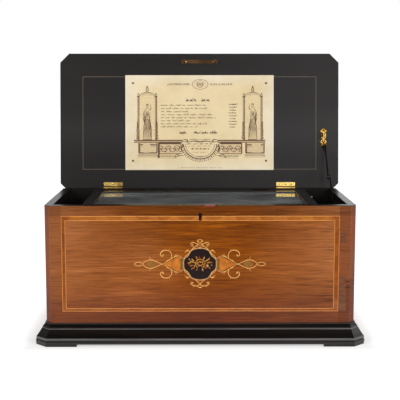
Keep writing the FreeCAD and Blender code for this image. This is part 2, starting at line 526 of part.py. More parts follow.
world("end_bridge", bridge("156", "7", [(126, BT), (190, BT), (190, "bed_z+bed_t+10"), (178, "bed_z+bed_t+20"), (176, "cyl_z+12"), (169, "cyl_z+18"), (161, "cyl_z+18"),
                                        (154, "cyl_z+12"), (142, "gov_z+9"), (129, "gov_z+9"), (126, "gov_z+2")],
                           [("cyl_y", "cyl_z", "3.55"), ("gov_y", "gov_z", "1.55")]))


# ---------------------------------------------------------------- gears
def gear_face(n, rp, add, ded, phase, w_tip=0.30, w_root=0.52):
    """Closed outline of a trapezoid-toothed wheel in the y-z plane; a tooth stands at angle phase."""
    ra, rr = rp + add, rp - ded
    pts = []
    p = 360.0 / n
    for i in range(n):
        a = phase + i * p
        for r, o in ((rr, -w_root / 2), (ra, -w_tip / 2), (ra, w_tip / 2), (rr, w_root / 2)):
            t = math.radians(a + o * p)
            pts.append(V(0, r * math.cos(t), r * math.sin(t)))
    return Part.Face(Part.makePolygon(pts + [pts[0]]))


def gear(n, rp, add, ded, phase, x0, t, bore):
    f = gear_face(n, rp, add, ded, phase)
    f.translate(V(x0, 0, 0))
    s = f.extrude(V(t, 0, 0))
    if bore:
        s = s.cut(Part.makeCylinder(bore, t + 2, V(x0 - 1, 0, 0), V(1, 0, 0)))
    return s


def xcyl(r, x0, x1):
    return Part.makeCylinder(r, x1 - x0, V(x0, 0, 0), V(1, 0, 0))


cd = math.hypot(d.cyl_y - d.bar_y, d.cyl_z - d.bar_z)
rp_w, rp_p = cd * 42 / 54, cd * 12 / 54
phi = math.degrees(math.atan2(d.cyl_z - d.bar_z, d.cyl_y - d.bar_y))
print("great wheel centre distance", cd)
BX0, BX1 = d.bar_x0, d.bar_x0 + d.bar_len
drum = xcyl(d.bar_rad, BX0, BX1).cut(xcyl(d.bar_rad - 2, BX0 + 2.5, BX1 - 2.5)).cut(xcyl(5.05, BX0 - 1, BX1 + 1))
name("spring_barrel", feature(drum, "front_y+bar_y", "bar_z"))
# mainspring: a wound steel strip lying in the drum
sp_in, sp_out = [], []
turns, r_in, r_out = 6, 9.0, 26.6
for k in range(turns * 30 + 1):
    t = 2 * math.pi * k / 30.0
    r = r_in + (r_out - r_in) * k / (turns * 30.0)
    sp_in.append(V(BX0 + 3.5, r * math.cos(t), r * math.sin(t)))
    sp_out.append(V(BX0 + 3.5, (r + 0.9) * math.cos(t), (r + 0.9) * math.sin(t)))
sp = sp_in + sp_out[::-1]
name("mainspring", feature(Part.Face(Part.makePolygon(sp + [sp[0]])).extrude(V(d.bar_len - 7.0, 0, 0)), "front_y+bar_y", "bar_z"))
name("great_wheel", feature(gear(42, rp_w, 1.15, 1.6, phi, BX1, 5.5, 5.05), "front_y+bar_y", "bar_z"))
# winding arbor with the spring hook, through the barrel and both bridges
arb = xcyl(4.0, -236.0, -193.0).fuse([xcyl(5.0, -193.0, -148.0), xcyl(4.0, -148.0, -136.5)])
arb = arb.fuse(Part.makeBox(4, 3, 3, V(-174, 4, -1.5))).removeSplitter()
name("winding_arbor", feature(arb, "front_y+bar_y", "bar_z"))
# ratchet wheel: saw teeth, on the arbor outside the barrel bridge
rt = []
N = 24
for i in range(N):
    for r, o in ((14.0, 0.02), (15.8, 0.06), (14.0, 0.95)):
        t = math.radians(360.0 / N * (i + o))
        rt.append(V(-205.5, r * math.cos(t), r * math.sin(t)))
rw = Part.Face(Part.makePolygon(rt + [rt[0]])).extrude(V(4.5, 0, 0)).cut(xcyl(4.0, -206, -200))
name("ratchet_wheel", feature(rw, "front_y+bar_y", "bar_z"))
# click on its own pin, tip riding at the tooth points
ck_piv = (30.0, 0.0)
ckp = [V(-205.3, 30 + 4.2, -4), V(-205.3, 30 + 4.2, 4), V(-205.3, 27, 5.5), V(-205.3, 21.5, 8.5), V(-205.3, 15.9, 9.5), V(-205.3, 14.5, 7.2), V(-205.3, 19.5, 4.0), V(-205.3, 25, -3.5)]
ck = Part.Face(Part.makePolygon(ckp + [ckp[0]])).extrude(V(4.0, 0, 0)).cut(Part.makeCylinder(1.55, 6, V(-206, 30, 0), V(1, 0, 0)))
name("ratchet_click", feature(ck, "front_y+bar_y", "bar_z"))
# winding lever in the left compartment: hub, arm and turned grip, lying low towards the front
LA = math.radians(200.0)
hub = xcyl(10, -236.0, -224.0).cut(xcyl(4.05, -237, -223))
ca, sa = math.cos(LA), math.sin(LA)
arm = Part.makeBox(5, 92, 9, V(-234.0, 8, -4.5))
gpr = [V(-252.0, 96, 0), V(-252.0, 100, 0), V(-250.5, 102, 0), V(-240.0, 102.6, 0), V(-235.5, 100.5, 0), V(-229.0, 100.5, 0), V(-229.0, 96, 0)]
grip = Part.Face(Part.makePolygon(gpr + [gpr[0]])).revolve(V(0, 96, 0), V(1, 0, 0), 360)
lever = hub.fuse([arm, grip]).removeSplitter().cut(xcyl(4.05, -237, -223))
lever.rotate(V(0, 0, 0), V(1, 0, 0), 200.0)
name("winding_lever", feature(lever, "front_y+bar_y", "bar_z"))

# ---------------------------------------------------------------- cylinder
CX0, CX1 = d.cyl_x0, d.cyl_x0 + d.cyl_len
ca_s = xcyl(3.5, -155.5, 176.0).fuse(gear(12, rp_p, 1.15, 1.55, phi + 180 + 15, -154.2, 6.2, None)).removeSplitter()
name("cylinder_arbor", feature(ca_s, "front_y+cyl_y", "cyl_z"))
tube = xcyl(d.cyl_rad, CX0, CX1).cut(xcyl(d.cyl_rad - 2.0, CX0 + 4, CX1 - 4)).cut(xcyl(3.55, CX0 - 1, CX1 + 1))
name("music_cylinder", feature(tube, "front_y+cyl_y", "cyl_z"))
phg = math.degrees(math.atan2(d.gov_z - d.cyl_z, d.gov_y - d.cyl_y))
cdg = math.hypot(d.gov_z - d.cyl_z, d.gov_y - d.cyl_y)
rg_w, rg_p = cdg * 60 / 72, cdg * 12 / 72
cw = gear(60, rg_w, 0.72, 1.0, phg, 166.0, 4.0, 3.5)
name("cylinder_wheel", feature(cw, "front_y+cyl_y", "cyl_z"))

# ---------------------------------------------------------------- comb
ncomb = 56
cx0, cx1 = -118.0, 142.0
pitch = (cx1 - cx0) / ncomb
tip_y, root_y, back_y = 132.2, 104.0, 74.0
pts = [V(cx0 - 3, back_y, 0), V(cx0 - 3, root_y + 4, 0)]
for i in range(ncomb):
    x = cx0 + pitch * i
    pts += [V(x + 0.35, root_y, 0), V(x + 0.35, tip_y - 7, 0), V(x + pitch / 2 - 0.75, tip_y, 0), V(x + pitch / 2 + 0.75, tip_y, 0), V(x + pitch - 0.35, tip_y - 7, 0), V(x + pitch - 0.35, root_y, 0)]
pts += [V(cx1 + 3, root_y + 4, 0), V(cx1 + 3, back_y, 0)]
pts[1] = V(cx0 - 3, root_y, 0)
pts[-2] = V(cx1 + 3, root_y, 0)
comb = Part.Face(Part.makePolygon(pts + [pts[0]])).extrude(V(0, 0, 2.2))
scx = [cx0 + 8 + k * (cx1 - cx0 - 16) / 6.0 for k in range(7)]
for x in scx:
    comb = comb.cut(Part.makeCylinder(2.3, 6, V(x, 86, -1), V(0, 0, 1)))
name("comb", feature(comb, "front_y", "181.0"))
cbase = Part.makeBox(cx1 - cx0 + 10, 34, 43.0, V(cx0 - 5, 66, 138.0))
cbase = cbase.cut(Part.makeBox(cx1 - cx0 + 20, 16, 26, V(cx0 - 10, 90, 146)))
name("comb_base", feature(cbase))
scr = feature(Part.makeCompound([Part.makeCylinder(4.2, 2.6, V(x, 86, 0)).fuse(Part.makeCylinder(2.2, 2.3, V(x, 86, -2.2))).removeSplitter() for x in scx]), "0", "183.2")
world("movement_screws", group(scr, *bs))

# ---------------------------------------------------------------- governor
ga = Part.makeCylinder(1.5, 31.5, V(155.5, 0, 0), V(1, 0, 0)).fuse(gear(12, rg_p, 0.72, 1.0, phg + 180 + 15, 165.4, 5.2, None)).removeSplitter()
name("governor_arbor", feature(ga, "front_y+gov_y", "gov_z"))
gw = gear(48, 14.6, 0.4, 1.0, 0, 174.0, 3.0, 1.5)
name("governor_wheel", feature(gw, "front_y+gov_y", "gov_z"))
gf = Part.makeBox(24, 46, 5, V(179.5, 106, 138)).fuse([Part.makeBox(5, 30, 34, V(181, 118, 141)), Part.makeBox(13, 12, 5, V(168.5, 111.6, 138)),
                                                      Part.makeBox(5, 12, 70, V(187.5, 106.5, 140)), Part.makeBox(23, 9, 5, V(169.5, 113.1, 205))]).removeSplitter()
gf = gf.cut(Part.makeCylinder(1.55, 10, V(179, d.gov_y, d.gov_z), V(1, 0, 0)))
gf = gf.cut(Part.makeCylinder(1.05, 8, V(d.worm_x, d.worm_y, 139.5), V(0, 0, 1)))
gf = gf.cut(Part.makeCylinder(1.05, 8, V(d.worm_x, d.worm_y, 204), V(0, 0, 1)))
name("governor_frame", feature(gf))
fs = Part.makeCylinder(1.0, 68, V(0, 0, 140.5)).fuse([Part.makeCylinder(1.6, 56, V(0, 0, 145.0)), Part.makeBox(20, 0.8, 16, V(-10, -0.4, 184)), Part.makeCylinder(2.4, 3, V(0, 0, 181))]).removeSplitter()
name("fly_spindle", feature(fs, "front_y+worm_y", "0", "worm_x"))

# ---------------------------------------------------------------- control levers in the right compartment
def control(y, top_lean):
    s = Part.makeBox(2.5, 8, 44, V(217.0, -4, -2)).fuse([Part.makeCylinder(6.5, 2.5, V(217.0, 0, 0), V(1, 0, 0)), Part.makeCylinder(3.6, 4.5, V(216.0, 0, 42), V(1, 0, 0))])
    s = s.cut(Part.makeCylinder(2.05, 5, V(216, 0, 0), V(1, 0, 0)))
    s.rotate(V(0, 0, 0), V(1, 0, 0), top_lean)
    return s


name("start_lever", feature(control(0, -6.0), "front_y+168", "205"))
name("change_lever", feature(control(0, -6.0), "front_y+26", "205"))
studs = [Part.makeCylinder(2.0, 5.2, V(215.0, y, 205), V(1, 0, 0)).fuse([Part.makeCylinder(3.6, 1.2, V(219.8, y, 205), V(1, 0, 0)), Part.makeCylinder(4.0, 1.7, V(215.0, y, 205), V(1, 0, 0))]).removeSplitter() for y in (168.0, 26.0)]
name("control_studs", feature(Part.makeCompound(studs)))

doc.removeObject("probe")
doc.recompute()

# ---------------------------------------------------------------- checks and files
bad = []
for o in doc.Objects:
    if "Invalid" in o.State or "Error" in o.State:
        bad.append("%s %s %s" % (o.Name, o.Label, o.State))
for o in PARTS:
    if o.Shape.isNull() or not o.Shape.isValid() or not o.Shape.Solids:
        bad.append("shape of %s" % o.Label)
labels = [o.Label for o in PARTS]
if len(set(labels)) != len(labels):
    bad.append("two parts share a label")
if bad:
    raise RuntimeError("; ".join(bad))
os.makedirs("parts", exist_ok=True)
for f in os.listdir("parts"):
    if f.endswith(".step") and f[:-5] not in labels:
        os.remove(os.path.join("parts", f))
lo = [1e9] * 3
hi = [-1e9] * 3
for o in PARTS:
    o.Shape.exportStep(os.path.join("parts", o.Label + ".step"))
    b = o.Shape.BoundBox
    for k, (p, q) in enumerate(((b.XMin, b.XMax), (b.YMin, b.YMax), (b.ZMin, b.ZMax))):
        lo[k] = min(lo[k], p)
        hi[k] = max(hi[k], q)
print(len(PARTS), "parts; box", [round(v, 3) for v in lo], [round(v, 3) for v in hi])
print("centre y %.3f" % ((lo[1] + hi[1]) / 2))
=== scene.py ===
import bpy, bmesh, json, math, random
from mathutils import Vector, Matrix


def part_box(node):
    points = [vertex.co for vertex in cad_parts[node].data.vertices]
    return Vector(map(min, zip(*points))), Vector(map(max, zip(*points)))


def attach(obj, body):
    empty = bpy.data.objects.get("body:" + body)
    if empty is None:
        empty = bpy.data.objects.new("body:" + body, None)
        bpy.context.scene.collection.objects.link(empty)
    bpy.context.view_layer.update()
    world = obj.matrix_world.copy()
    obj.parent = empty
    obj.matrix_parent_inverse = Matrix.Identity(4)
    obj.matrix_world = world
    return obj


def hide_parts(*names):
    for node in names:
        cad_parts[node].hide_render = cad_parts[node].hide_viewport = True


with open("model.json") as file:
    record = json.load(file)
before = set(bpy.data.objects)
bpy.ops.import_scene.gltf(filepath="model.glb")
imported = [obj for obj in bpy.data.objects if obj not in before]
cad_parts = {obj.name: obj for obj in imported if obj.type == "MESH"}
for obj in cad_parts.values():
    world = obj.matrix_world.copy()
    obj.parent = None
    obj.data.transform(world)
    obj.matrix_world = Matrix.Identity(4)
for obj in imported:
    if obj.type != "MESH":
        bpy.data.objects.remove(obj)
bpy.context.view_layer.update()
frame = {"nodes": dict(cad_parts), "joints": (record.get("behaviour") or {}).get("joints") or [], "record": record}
nodes, rec = frame["nodes"], frame["record"]
random.seed(7)

W_FRONT, W_TOP = 0.42, 0.04

# ------------------------------------------------------------------ reference places, read from the CAD
fw_lo, fw_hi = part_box("front_wall")
bw_lo, bw_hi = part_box("back_wall")
FY = fw_lo.y * 1000.0            # front face of the case, mm
TOP = fw_hi.z * 1000.0           # top of the case walls
HW = fw_hi.x * 1000.0            # half width of the case
DEP = (bw_hi.y - fw_lo.y) * 1000.0
JT = {j["name"]: j for j in frame["joints"]}
PIN = [c * 1000.0 for c in JT["main_lid_hinge"]["pos_m"]]
LIDA = math.radians(-JT["main_lid_hinge"]["range_deg"][0])
CA, SA = math.cos(LIDA), math.sin(LIDA)


def P3(x, yf, z):
    """Case coordinates (yf back from the front face), mm to metres."""
    return Vector((x, yf + FY, z)) / 1000.0


def on_front(u, v, h):
    return P3(u, -h, v)


def on_back(u, v, h):
    return P3(-u, DEP + h, v)


def on_left(u, v, h):
    return P3(-HW - h, DEP / 2 - u, v)


def on_right(u, v, h):
    return P3(HW + h, DEP / 2 + u, v)


GAP, LT = 0.3, 20.0


def on_lid_in(u, s, h):
    """Inner face of the open lid: u across, s up from the hinge line, h proud of the face."""
    k = h - GAP
    return Vector((u, PIN[1] - (s * CA + k * SA), PIN[2] + s * SA - k * CA)) / 1000.0


def on_lid_out(u, s, h):
    k = -(LT + h) - GAP
    return Vector((-u, PIN[1] - (s * CA + k * SA), PIN[2] + s * SA - k * CA)) / 1000.0


def link(me, name, body, mats):
    o = bpy.data.objects.new(name, me)
    bpy.context.scene.collection.objects.link(o)
    for m in (mats if isinstance(mats, (list, tuple)) else [mats]):
        me.materials.append(m)
    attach(o, body)
    return o


# ------------------------------------------------------------------ material helpers
class G:
    """A small helper for shader graphs."""

    def __init__(self, name):
        self.m = bpy.data.materials.new(name)
        self.m.use_nodes = True
        self.t = self.m.node_tree
        self.t.nodes.clear()
        self.out = self.t.nodes.new("ShaderNodeOutputMaterial")
        self.b = self.t.nodes.new("ShaderNodeBsdfPrincipled")
        self.t.links.new(self.b.outputs[0], self.out.inputs[0])
        self.tc = self.t.nodes.new("ShaderNodeTexCoord")

    def n(self, kind, **kw):
        nd = self.t.nodes.new(kind)
        for k, v in kw.items():
            setattr(nd, k, v)
        return nd

    def l(self, a, b):
        self.t.links.new(a, b)

    def val(self, sock, v):
        if isinstance(v, (int, float, tuple, list)):
            sock.default_value = v
        else:
            self.l(v, sock)

    def set(self, **kw):
        for k, v in kw.items():
            self.val(self.b.inputs[k.replace("_", " ")], v)

    def math(self, op, a, b=0.0, c=None, clamp=False):
        nd = self.n("ShaderNodeMath", operation=op, use_clamp=clamp)
        self.val(nd.inputs[0], a)
        self.val(nd.inputs[1], b)
        if c is not None:
            self.val(nd.inputs[2], c)
        return nd.outputs[0]

    def mapping(self, scale=(1, 1, 1), loc=(0, 0, 0), rot=(0, 0, 0), src=None):
        nd = self.n("ShaderNodeMapping")
        self.l(src or self.tc.outputs["Object"], nd.inputs["Vector"])
        nd.inputs["Scale"].default_value = scale
        nd.inputs["Location"].default_value = loc
        nd.inputs["Rotation"].default_value = rot
        return nd.outputs[0]

    def noise(self, vec, scale=5.0, detail=4.0, rough=0.5, dist=0.0):
        nd = self.n("ShaderNodeTexNoise")
        self.l(vec, nd.inputs["Vector"])
        nd.inputs["Scale"].default_value = scale
        nd.inputs["Detail"].default_value = detail
        nd.inputs["Roughness"].default_value = rough
        nd.inputs["Distortion"].default_value = dist
        return nd.outputs["Fac"]

    def ramp(self, fac, stops, interp="LINEAR"):
        nd = self.n("ShaderNodeValToRGB")
        nd.color_ramp.interpolation = interp
        el = nd.color_ramp.elements
        while len(el) < len(stops):
            el.new(0.5)
        for e, (p, c) in zip(el, stops):
            e.position = p
            e.color = (c, c, c, 1) if isinstance(c, (int, float)) else (*c[:3], 1)
        self.l(fac, nd.inputs["Fac"])
        return nd.outputs["Color"]

    def mix(self, fac, a, b, mode="MIX"):
        nd = self.n("ShaderNodeMix", data_type="RGBA", blend_type=mode)
        self.val(nd.inputs[0], fac)
        self.val(nd.inputs[6], a if not isinstance(a, tuple) else (*a[:3], 1))
        self.val(nd.inputs[7], b if not isinstance(b, tuple) else (*b[:3], 1))
        return nd.outputs[2]

    def xyz(self):
        nd = self.n("ShaderNodeSeparateXYZ")
        self.l(self.tc.outputs["Object"], nd.inputs[0])
        return nd.outputs

    def bump(self, height, strength=0.1, dist=0.001, src=None):
        nd = self.n("ShaderNodeBump")
        nd.inputs["Strength"].default_value = strength
        nd.inputs["Distance"].default_value = dist
        self.l(height, nd.inputs["Height"])
        if src is not None:
            self.l(src, nd.inputs["Normal"])
        self.l(nd.outputs[0], self.b.inputs["Normal"])
        return nd.outputs[0]


def lin(r, g, b):
    """sRGB 0-255 to linear."""
    def f(c):
        c /= 255.0
        return c / 12.92 if c <= 0.04045 else ((c + 0.055) / 1.055) ** 2.4
    return (f(r), f(g), f(b))


def wood(name, dark, mid, light, axes=(2.2, 60, 60), seed=0.0, figure=1.0, rough=0.34, coat=0.12, coat_rough=0.12, black=None):
    """Straight-grained polished veneer.  axes stretches the grain; black is not used."""
    g = G(name)
    v1 = g.mapping(scale=axes, loc=(seed, seed * 0.7, seed * 1.3))
    warp = g.noise(g.mapping(scale=(3.0, 9.0, 9.0), loc=(seed * 2, 0, seed)), 1.0, 2.0, 0.5)
    n1 = g.noise(v1, 1.0, 6.0, 0.62, 0.9)
    v2 = g.mapping(scale=tuple(a * 4.5 for a in axes), loc=(seed + 3, seed, 1))
    n2 = g.noise(v2, 1.0, 5.0, 0.7)
    v3 = g.mapping(scale=(axes[0] * 6, axes[1] * 8.0, axes[2] * 8.0), loc=(1, seed, 2))
    pores = g.noise(v3, 1.0, 3.0, 0.6)
    v4 = g.mapping(scale=(axes[0] * 3.4, axes[1] * 4.6, axes[2] * 4.6), loc=(seed, 7, 2))
    veins = g.noise(v4, 1.0, 5.0, 0.72, 0.4)
    broad = g.noise(g.mapping(scale=(2.4, 11, 11), loc=(seed, 4, seed)), 1.0, 3.0, 0.55, 0.6)
    a = g.math("MULTIPLY_ADD", n1, 0.40, g.math("MULTIPLY", n2, 0.60))
    a = g.math("MULTIPLY_ADD", g.math("SUBTRACT", warp, 0.5), 0.35 * figure, a)
    a = g.math("MULTIPLY_ADD", g.math("SUBTRACT", broad, 0.5), 0.55 * figure, a)
    col = g.ramp(a, [(0.30, dark), (0.46, mid), (0.58, mid), (0.72, light)])
    pm = g.ramp(pores, [(0.34, 0.0), (0.50, 1.0)])
    col = g.mix(0.5, col, g.mix(pm, tuple(c * 0.5 for c in mid), (1.08, 1.06, 1.04)), "MULTIPLY")
    vm = g.ramp(veins, [(0.36, 0.0), (0.49, 1.0)])
    col = g.mix(0.38, col, g.mix(vm, (0.34, 0.26, 0.20), (1, 1, 1)), "MULTIPLY")
    g.col = col
    g.set(Roughness=rough)
    g.b.inputs["Specular IOR Level"].default_value = 0.15
    g.b.inputs["Coat Weight"].default_value = coat
    g.b.inputs["Coat Roughness"].default_value = coat_rough
    g.bump(g.math("MULTIPLY_ADD", pm, 0.5, n2), 0.05, 0.0004)
    return g


# --- case veneer: warm gold in the middle, redder at the ends, ebonised on top and inside
ROSE_D, ROSE_M, ROSE_L = lin(84, 40, 18), lin(134, 74, 34), lin(176, 108, 58)
g = wood("case_veneer", lin(84, 45, 20), lin(153, 97, 51), lin(190, 129, 78), axes=(3.2, 95, 95), seed=1.7, figure=0.9, coat=0.09)
X, Yo, Z = g.xyz()
side = g.math("SMOOTH_MIN", g.math("DIVIDE", g.math("ABSOLUTE", X), 0.26), 1.0, 0.1)
side = g.math("POWER", side, 1.5)
patch = g.noise(g.mapping(scale=(5, 5, 9), loc=(2.2, 0, 0.4)), 1.0, 2.0, 0.5)
side = g.math("ADD", side, g.math("MULTIPLY", g.math("SUBTRACT", patch, 0.5), 1.1), clamp=True)
tintc = g.mix(side, lin(204, 166, 36), lin(252, 244, 255))
col = g.mix(1.0, g.col, tintc, "MULTIPLY")
# the margin outside the banding and the foot of the front are a little darker and redder
edge = g.math("MAXIMUM", g.math("SUBTRACT", g.math("ABSOLUTE", X), 0.2494), g.math("SUBTRACT", 0.0605, Z))
em_ = g.math("GREATER_THAN", edge, 0.0)
col = g.mix(g.math("MULTIPLY", em_, 0.7), col, lin(222, 214, 214), "MULTIPLY")
bow = g.n("ShaderNodeMapRange", interpolation_type="SMOOTHSTEP")
g.l(Z, bow.inputs["Value"])
for k_, v_ in zip(("From Min", "From Max", "To Min", "To Max"), (0.05, 0.13, 1.0, 0.0)):
    bow.inputs[k_].default_value = v_
col = g.mix(bow.outputs[0], col, lin(204, 178, 154), "MULTIPLY")
# the strip over the banding is darker; the canted corners are a red-brown slip
above = g.math("GREATER_THAN", Z, 0.2357)
col = g.mix(above, col, lin(226, 226, 230), "MULTIPLY")
cant = g.math("GREATER_THAN", g.math("ABSOLUTE", X), HW / 1000.0 - 0.0088)
col = g.mix(cant, col, lin(240, 202, 128), "MULTIPLY")
# painted shade: the right margin and right cant are darkened a little more, standing in for the end turned away from
# the key light
col = g.mix(g.math("GREATER_THAN", X, 0.2496), col, lin(232, 222, 228), "MULTIPLY")


def smap(sock, a, b, c, d):
    m = g.n("ShaderNodeMapRange", interpolation_type="SMOOTHSTEP")
    g.l(sock, m.inputs["Value"])
    for k, v in zip(("From Min", "From Max", "To Min", "To Max"), (a, b, c, d)):
        m.inputs[k].default_value = v
    return m.outputs[0]


# a darker streaked figure high in the middle, and a fainter one low at the right
fig = g.noise(g.mapping(scale=(5.5, 62, 62), loc=(9.3, 0, 3.1)), 1.0, 6.0, 0.72, 0.8)
figm = g.ramp(fig, [(0.40, 0.0), (0.60, 1.0)])
zone = g.math("MULTIPLY", smap(g.math("ABSOLUTE", g.math("SUBTRACT", X, 0.012)), 0.05, 0.20, 1.0, 0.0), smap(Z, 0.150, 0.215, 0.0, 1.0))
zone2 = g.math("MULTIPLY", smap(g.math("ABSOLUTE", g.math("SUBTRACT", X, 0.205)), 0.01, 0.07, 0.6, 0.0), smap(Z, 0.07, 0.15, 1.0, 0.0))
zone = g.math("ADD", zone, zone2, clamp=True)
col = g.mix(g.math("MULTIPLY", g.math("MULTIPLY", figm, zone), 0.85), col, (0.40, 0.33, 0.26), "MULTIPLY")
# ebonised zones
inx = g.math("LESS_THAN", g.math("ABSOLUTE", X), HW / 1000.0 - 0.0148)
iny1 = g.math("GREATER_THAN", Yo, (FY + 14.8) / 1000.0)
iny2 = g.math("LESS_THAN", Yo, (FY + DEP - 14.8) / 1000.0)
ins = g.math("MULTIPLY", g.math("MULTIPLY", inx, iny1), iny2)
topz = g.math("GREATER_THAN", Z, (TOP - 0.55) / 1000.0)
ebm = g.math("MAXIMUM", ins, topz)
col = g.mix(ebm, col, lin(17, 14, 13))
g.set(Base_Color=col)
VENEER = g.m

g = wood("back_veneer", lin(84, 42, 20), lin(128, 72, 36), lin(160, 98, 54), axes=(3.0, 80, 80), seed=5.1, figure=0.8, rough=0.42, coat=0.2)
X, Yo, Z = g.xyz()
topz = g.math("GREATER_THAN", Z, (TOP - 0.55) / 1000.0)
iny2 = g.math("LESS_THAN", Yo, (FY + DEP - 14.8) / 1000.0)
g.set(Base_Color=g.mix(g.math("MAXIMUM", topz, iny2), g.col, lin(17, 14, 13)))
BACKV = g.m

# end walls: grain runs front to back
g = wood("end_veneer", lin(100, 50, 22), lin(152, 88, 46), lin(184, 116, 66), axes=(95, 3.2, 95), seed=2.9, figure=0.9)
X, Yo, Z = g.xyz()
inx = g.math("LESS_THAN", g.math("ABSOLUTE", X), HW / 1000.0 - 0.0148)
topz = g.math("GREATER_THAN", Z, (TOP - 0.55) / 1000.0)
g.set(Base_Color=g.mix(g.math("MAXIMUM", inx, topz), g.col, lin(17, 14, 13)))
ENDV = g.m


def ebony(name, rough=0.26, coat=0.5, base=(15, 12, 11), brown=(30, 22, 18), spec=0.5):
    g = G(name)
    n = g.noise(g.mapping(scale=(6, 60, 60)), 1.0, 5.0, 0.6)
    w = g.noise(g.mapping(scale=(9, 9, 9)), 1.0, 3.0, 0.5)
    g.set(Base_Color=g.mix(g.ramp(n, [(0.45, 0.0), (0.75, 1.0)]), lin(*base), lin(*brown)))
    g.set(Roughness=g.math("MULTIPLY_ADD", w, 0.14, rough - 0.07))
    g.b.inputs["Specular IOR Level"].default_value = spec
    g.b.inputs["Coat Weight"].default_value = coat
    g.b.inputs["Coat Roughness"].default_value = 0.06
    g.bump(n, 0.03, 0.0002)
    return g.m


EBONY = ebony("ebonised_polish")
g = G("ebonised_moulding")
n = g.noise(g.mapping(scale=(6, 60, 60)), 1.0, 5.0, 0.6)
w = g.noise(g.mapping(scale=(9, 9, 9)), 1.0, 3.0, 0.5)
highlight_noise = g.noise(g.mapping(scale=(11, 30, 260), loc=(2, 1, 5)), 1.0, 4.0, 0.65)
X, Yo, Z = g.xyz()
col = g.mix(g.ramp(n, [(0.45, 0.0), (0.75, 1.0)]), lin(10, 7, 6), lin(22, 13, 10))
painted_highlight_mask = None
# painted highlight: grey lines painted along the bead and along the lower round where they would catch the light,
# broken up by noise
for zc, hw_, amt in ((0.0300, 0.0013, 0.95), (0.0137, 0.0021, 1.0)):
    m_ = g.n("ShaderNodeMapRange", interpolation_type="SMOOTHSTEP")
    g.l(g.math("ABSOLUTE", g.math("SUBTRACT", Z, zc)), m_.inputs["Value"])
    for k_, v_ in zip(("From Min", "From Max", "To Min", "To Max"), (hw_ * 0.35, hw_, amt, 0.0)):
        m_.inputs[k_].default_value = v_
    painted_highlight_mask = m_.outputs[0] if painted_highlight_mask is None else g.math("MAXIMUM", painted_highlight_mask, m_.outputs[0])
painted_highlight_mask = g.math("MULTIPLY", painted_highlight_mask, g.ramp(highlight_noise, [(0.30, 0.45), (0.58, 1.0)]))
col = g.mix(painted_highlight_mask, col, lin(84, 81, 83))
g.set(Base_Color=col)
g.set(Roughness=g.math("MULTIPLY_ADD", g.math("GREATER_THAN", Z, 0.0374), 0.6, g.math("MULTIPLY_ADD", w, 0.14, 0.15)))
g.b.inputs["Specular IOR Level"].default_value = 0.32
g.b.inputs["Coat Weight"].default_value = 0.3
g.b.inputs["Coat Roughness"].default_value = 0.06
g.bump(n, 0.03, 0.0002)
EBONY_PL = g.m
EBONY_IN = ebony("ebonised_inside", rough=0.42, coat=0.1)

# lid: black inside and on its edges, veneered on the outside
g = wood("lid_woods", lin(100, 50, 22), lin(152, 90, 46), lin(184, 120, 68), axes=(3.0, 90, 90), seed=8.4, figure=0.9)
X, Yo, Z = g.xyz()
nrm = on_lid_in(0, 100, 1.0) - on_lid_in(0, 100, 0.0)
nrm.normalize()
p0 = on_lid_in(0, 100, 0.0)
dist = g.math("MULTIPLY_ADD", Yo, nrm.y, g.math("MULTIPLY_ADD", Z, nrm.z, -(p0.y * nrm.y + p0.z * nrm.z)))
outer = g.math("LESS_THAN", dist, -(LT - 0.25) / 1000.0)
blk = g.noise(g.mapping(scale=(5, 30, 30)), 1.0, 5.0, 0.6)
blkc = g.mix(blk, lin(17, 15, 15), lin(30, 27, 26))
g.set(Base_Color=g.mix(outer, blkc, g.col))
g.set(Roughness=g.math("MULTIPLY_ADD", outer, -0.08, 0.42))
g.b.inputs["Coat Weight"].default_value = 0.25
g.b.inputs["Coat Roughness"].default_value = 0.16
LIDW = g.m

g = wood("stained_pine", lin(50, 32, 20), lin(84, 56, 34), lin(112, 78, 48), axes=(4, 50, 50), seed=3.0, rough=0.6, coat=0.0)
g.set(Base_Color=g.col)
PINE = g.m


def inlay(name, base, var=0.18, scale=260.0, rough=0.33, coat=0.35, stretch=(1.0, 1.0, 0.6), rot=(0, 0, 0), darker_low_and_ends=None):
    g = G(name)
    n = g.noise(g.mapping(scale=tuple(scale * k for k in stretch), rot=rot), 1.0, 4.0, 0.6)
    lo = tuple(c * (1 - var) for c in base)
    hi = tuple(min(1, c * (1 + var)) for c in base)
    cl_ = g.ramp(n, [(0.3, lo), (0.7, hi)])
    if darker_low_and_ends:
        # darker toward the bottom of the case and toward its ends
        X_, Y_, Z_ = g.xyz()
        lo_ = g.n("ShaderNodeMapRange", interpolation_type="SMOOTHSTEP")
        g.l(Z_, lo_.inputs["Value"])
        en_ = g.n("ShaderNodeMapRange", interpolation_type="SMOOTHSTEP")
        g.l(g.math("ABSOLUTE", X_), en_.inputs["Value"])
        for m_, v_ in ((lo_, (0.05, 0.12, 1.0, 0.0)), (en_, (0.225, 0.242, 0.0, 0.9))):
            for k_, x_ in zip(("From Min", "From Max", "To Min", "To Max"), v_):
                m_.inputs[k_].default_value = x_
        cl_ = g.mix(g.math("MAXIMUM", lo_.outputs[0], en_.outputs[0]), cl_, darker_low_and_ends, "MULTIPLY")
    g.set(Base_Color=cl_, Roughness=rough)
    g.b.inputs["Specular IOR Level"].default_value = 0.22
    g.b.inputs["Coat Weight"].default_value = coat * 0.35
    g.b.inputs["Coat Roughness"].default_value = 0.12
    g.bump(n, 0.03, 0.0002)
    return g.m


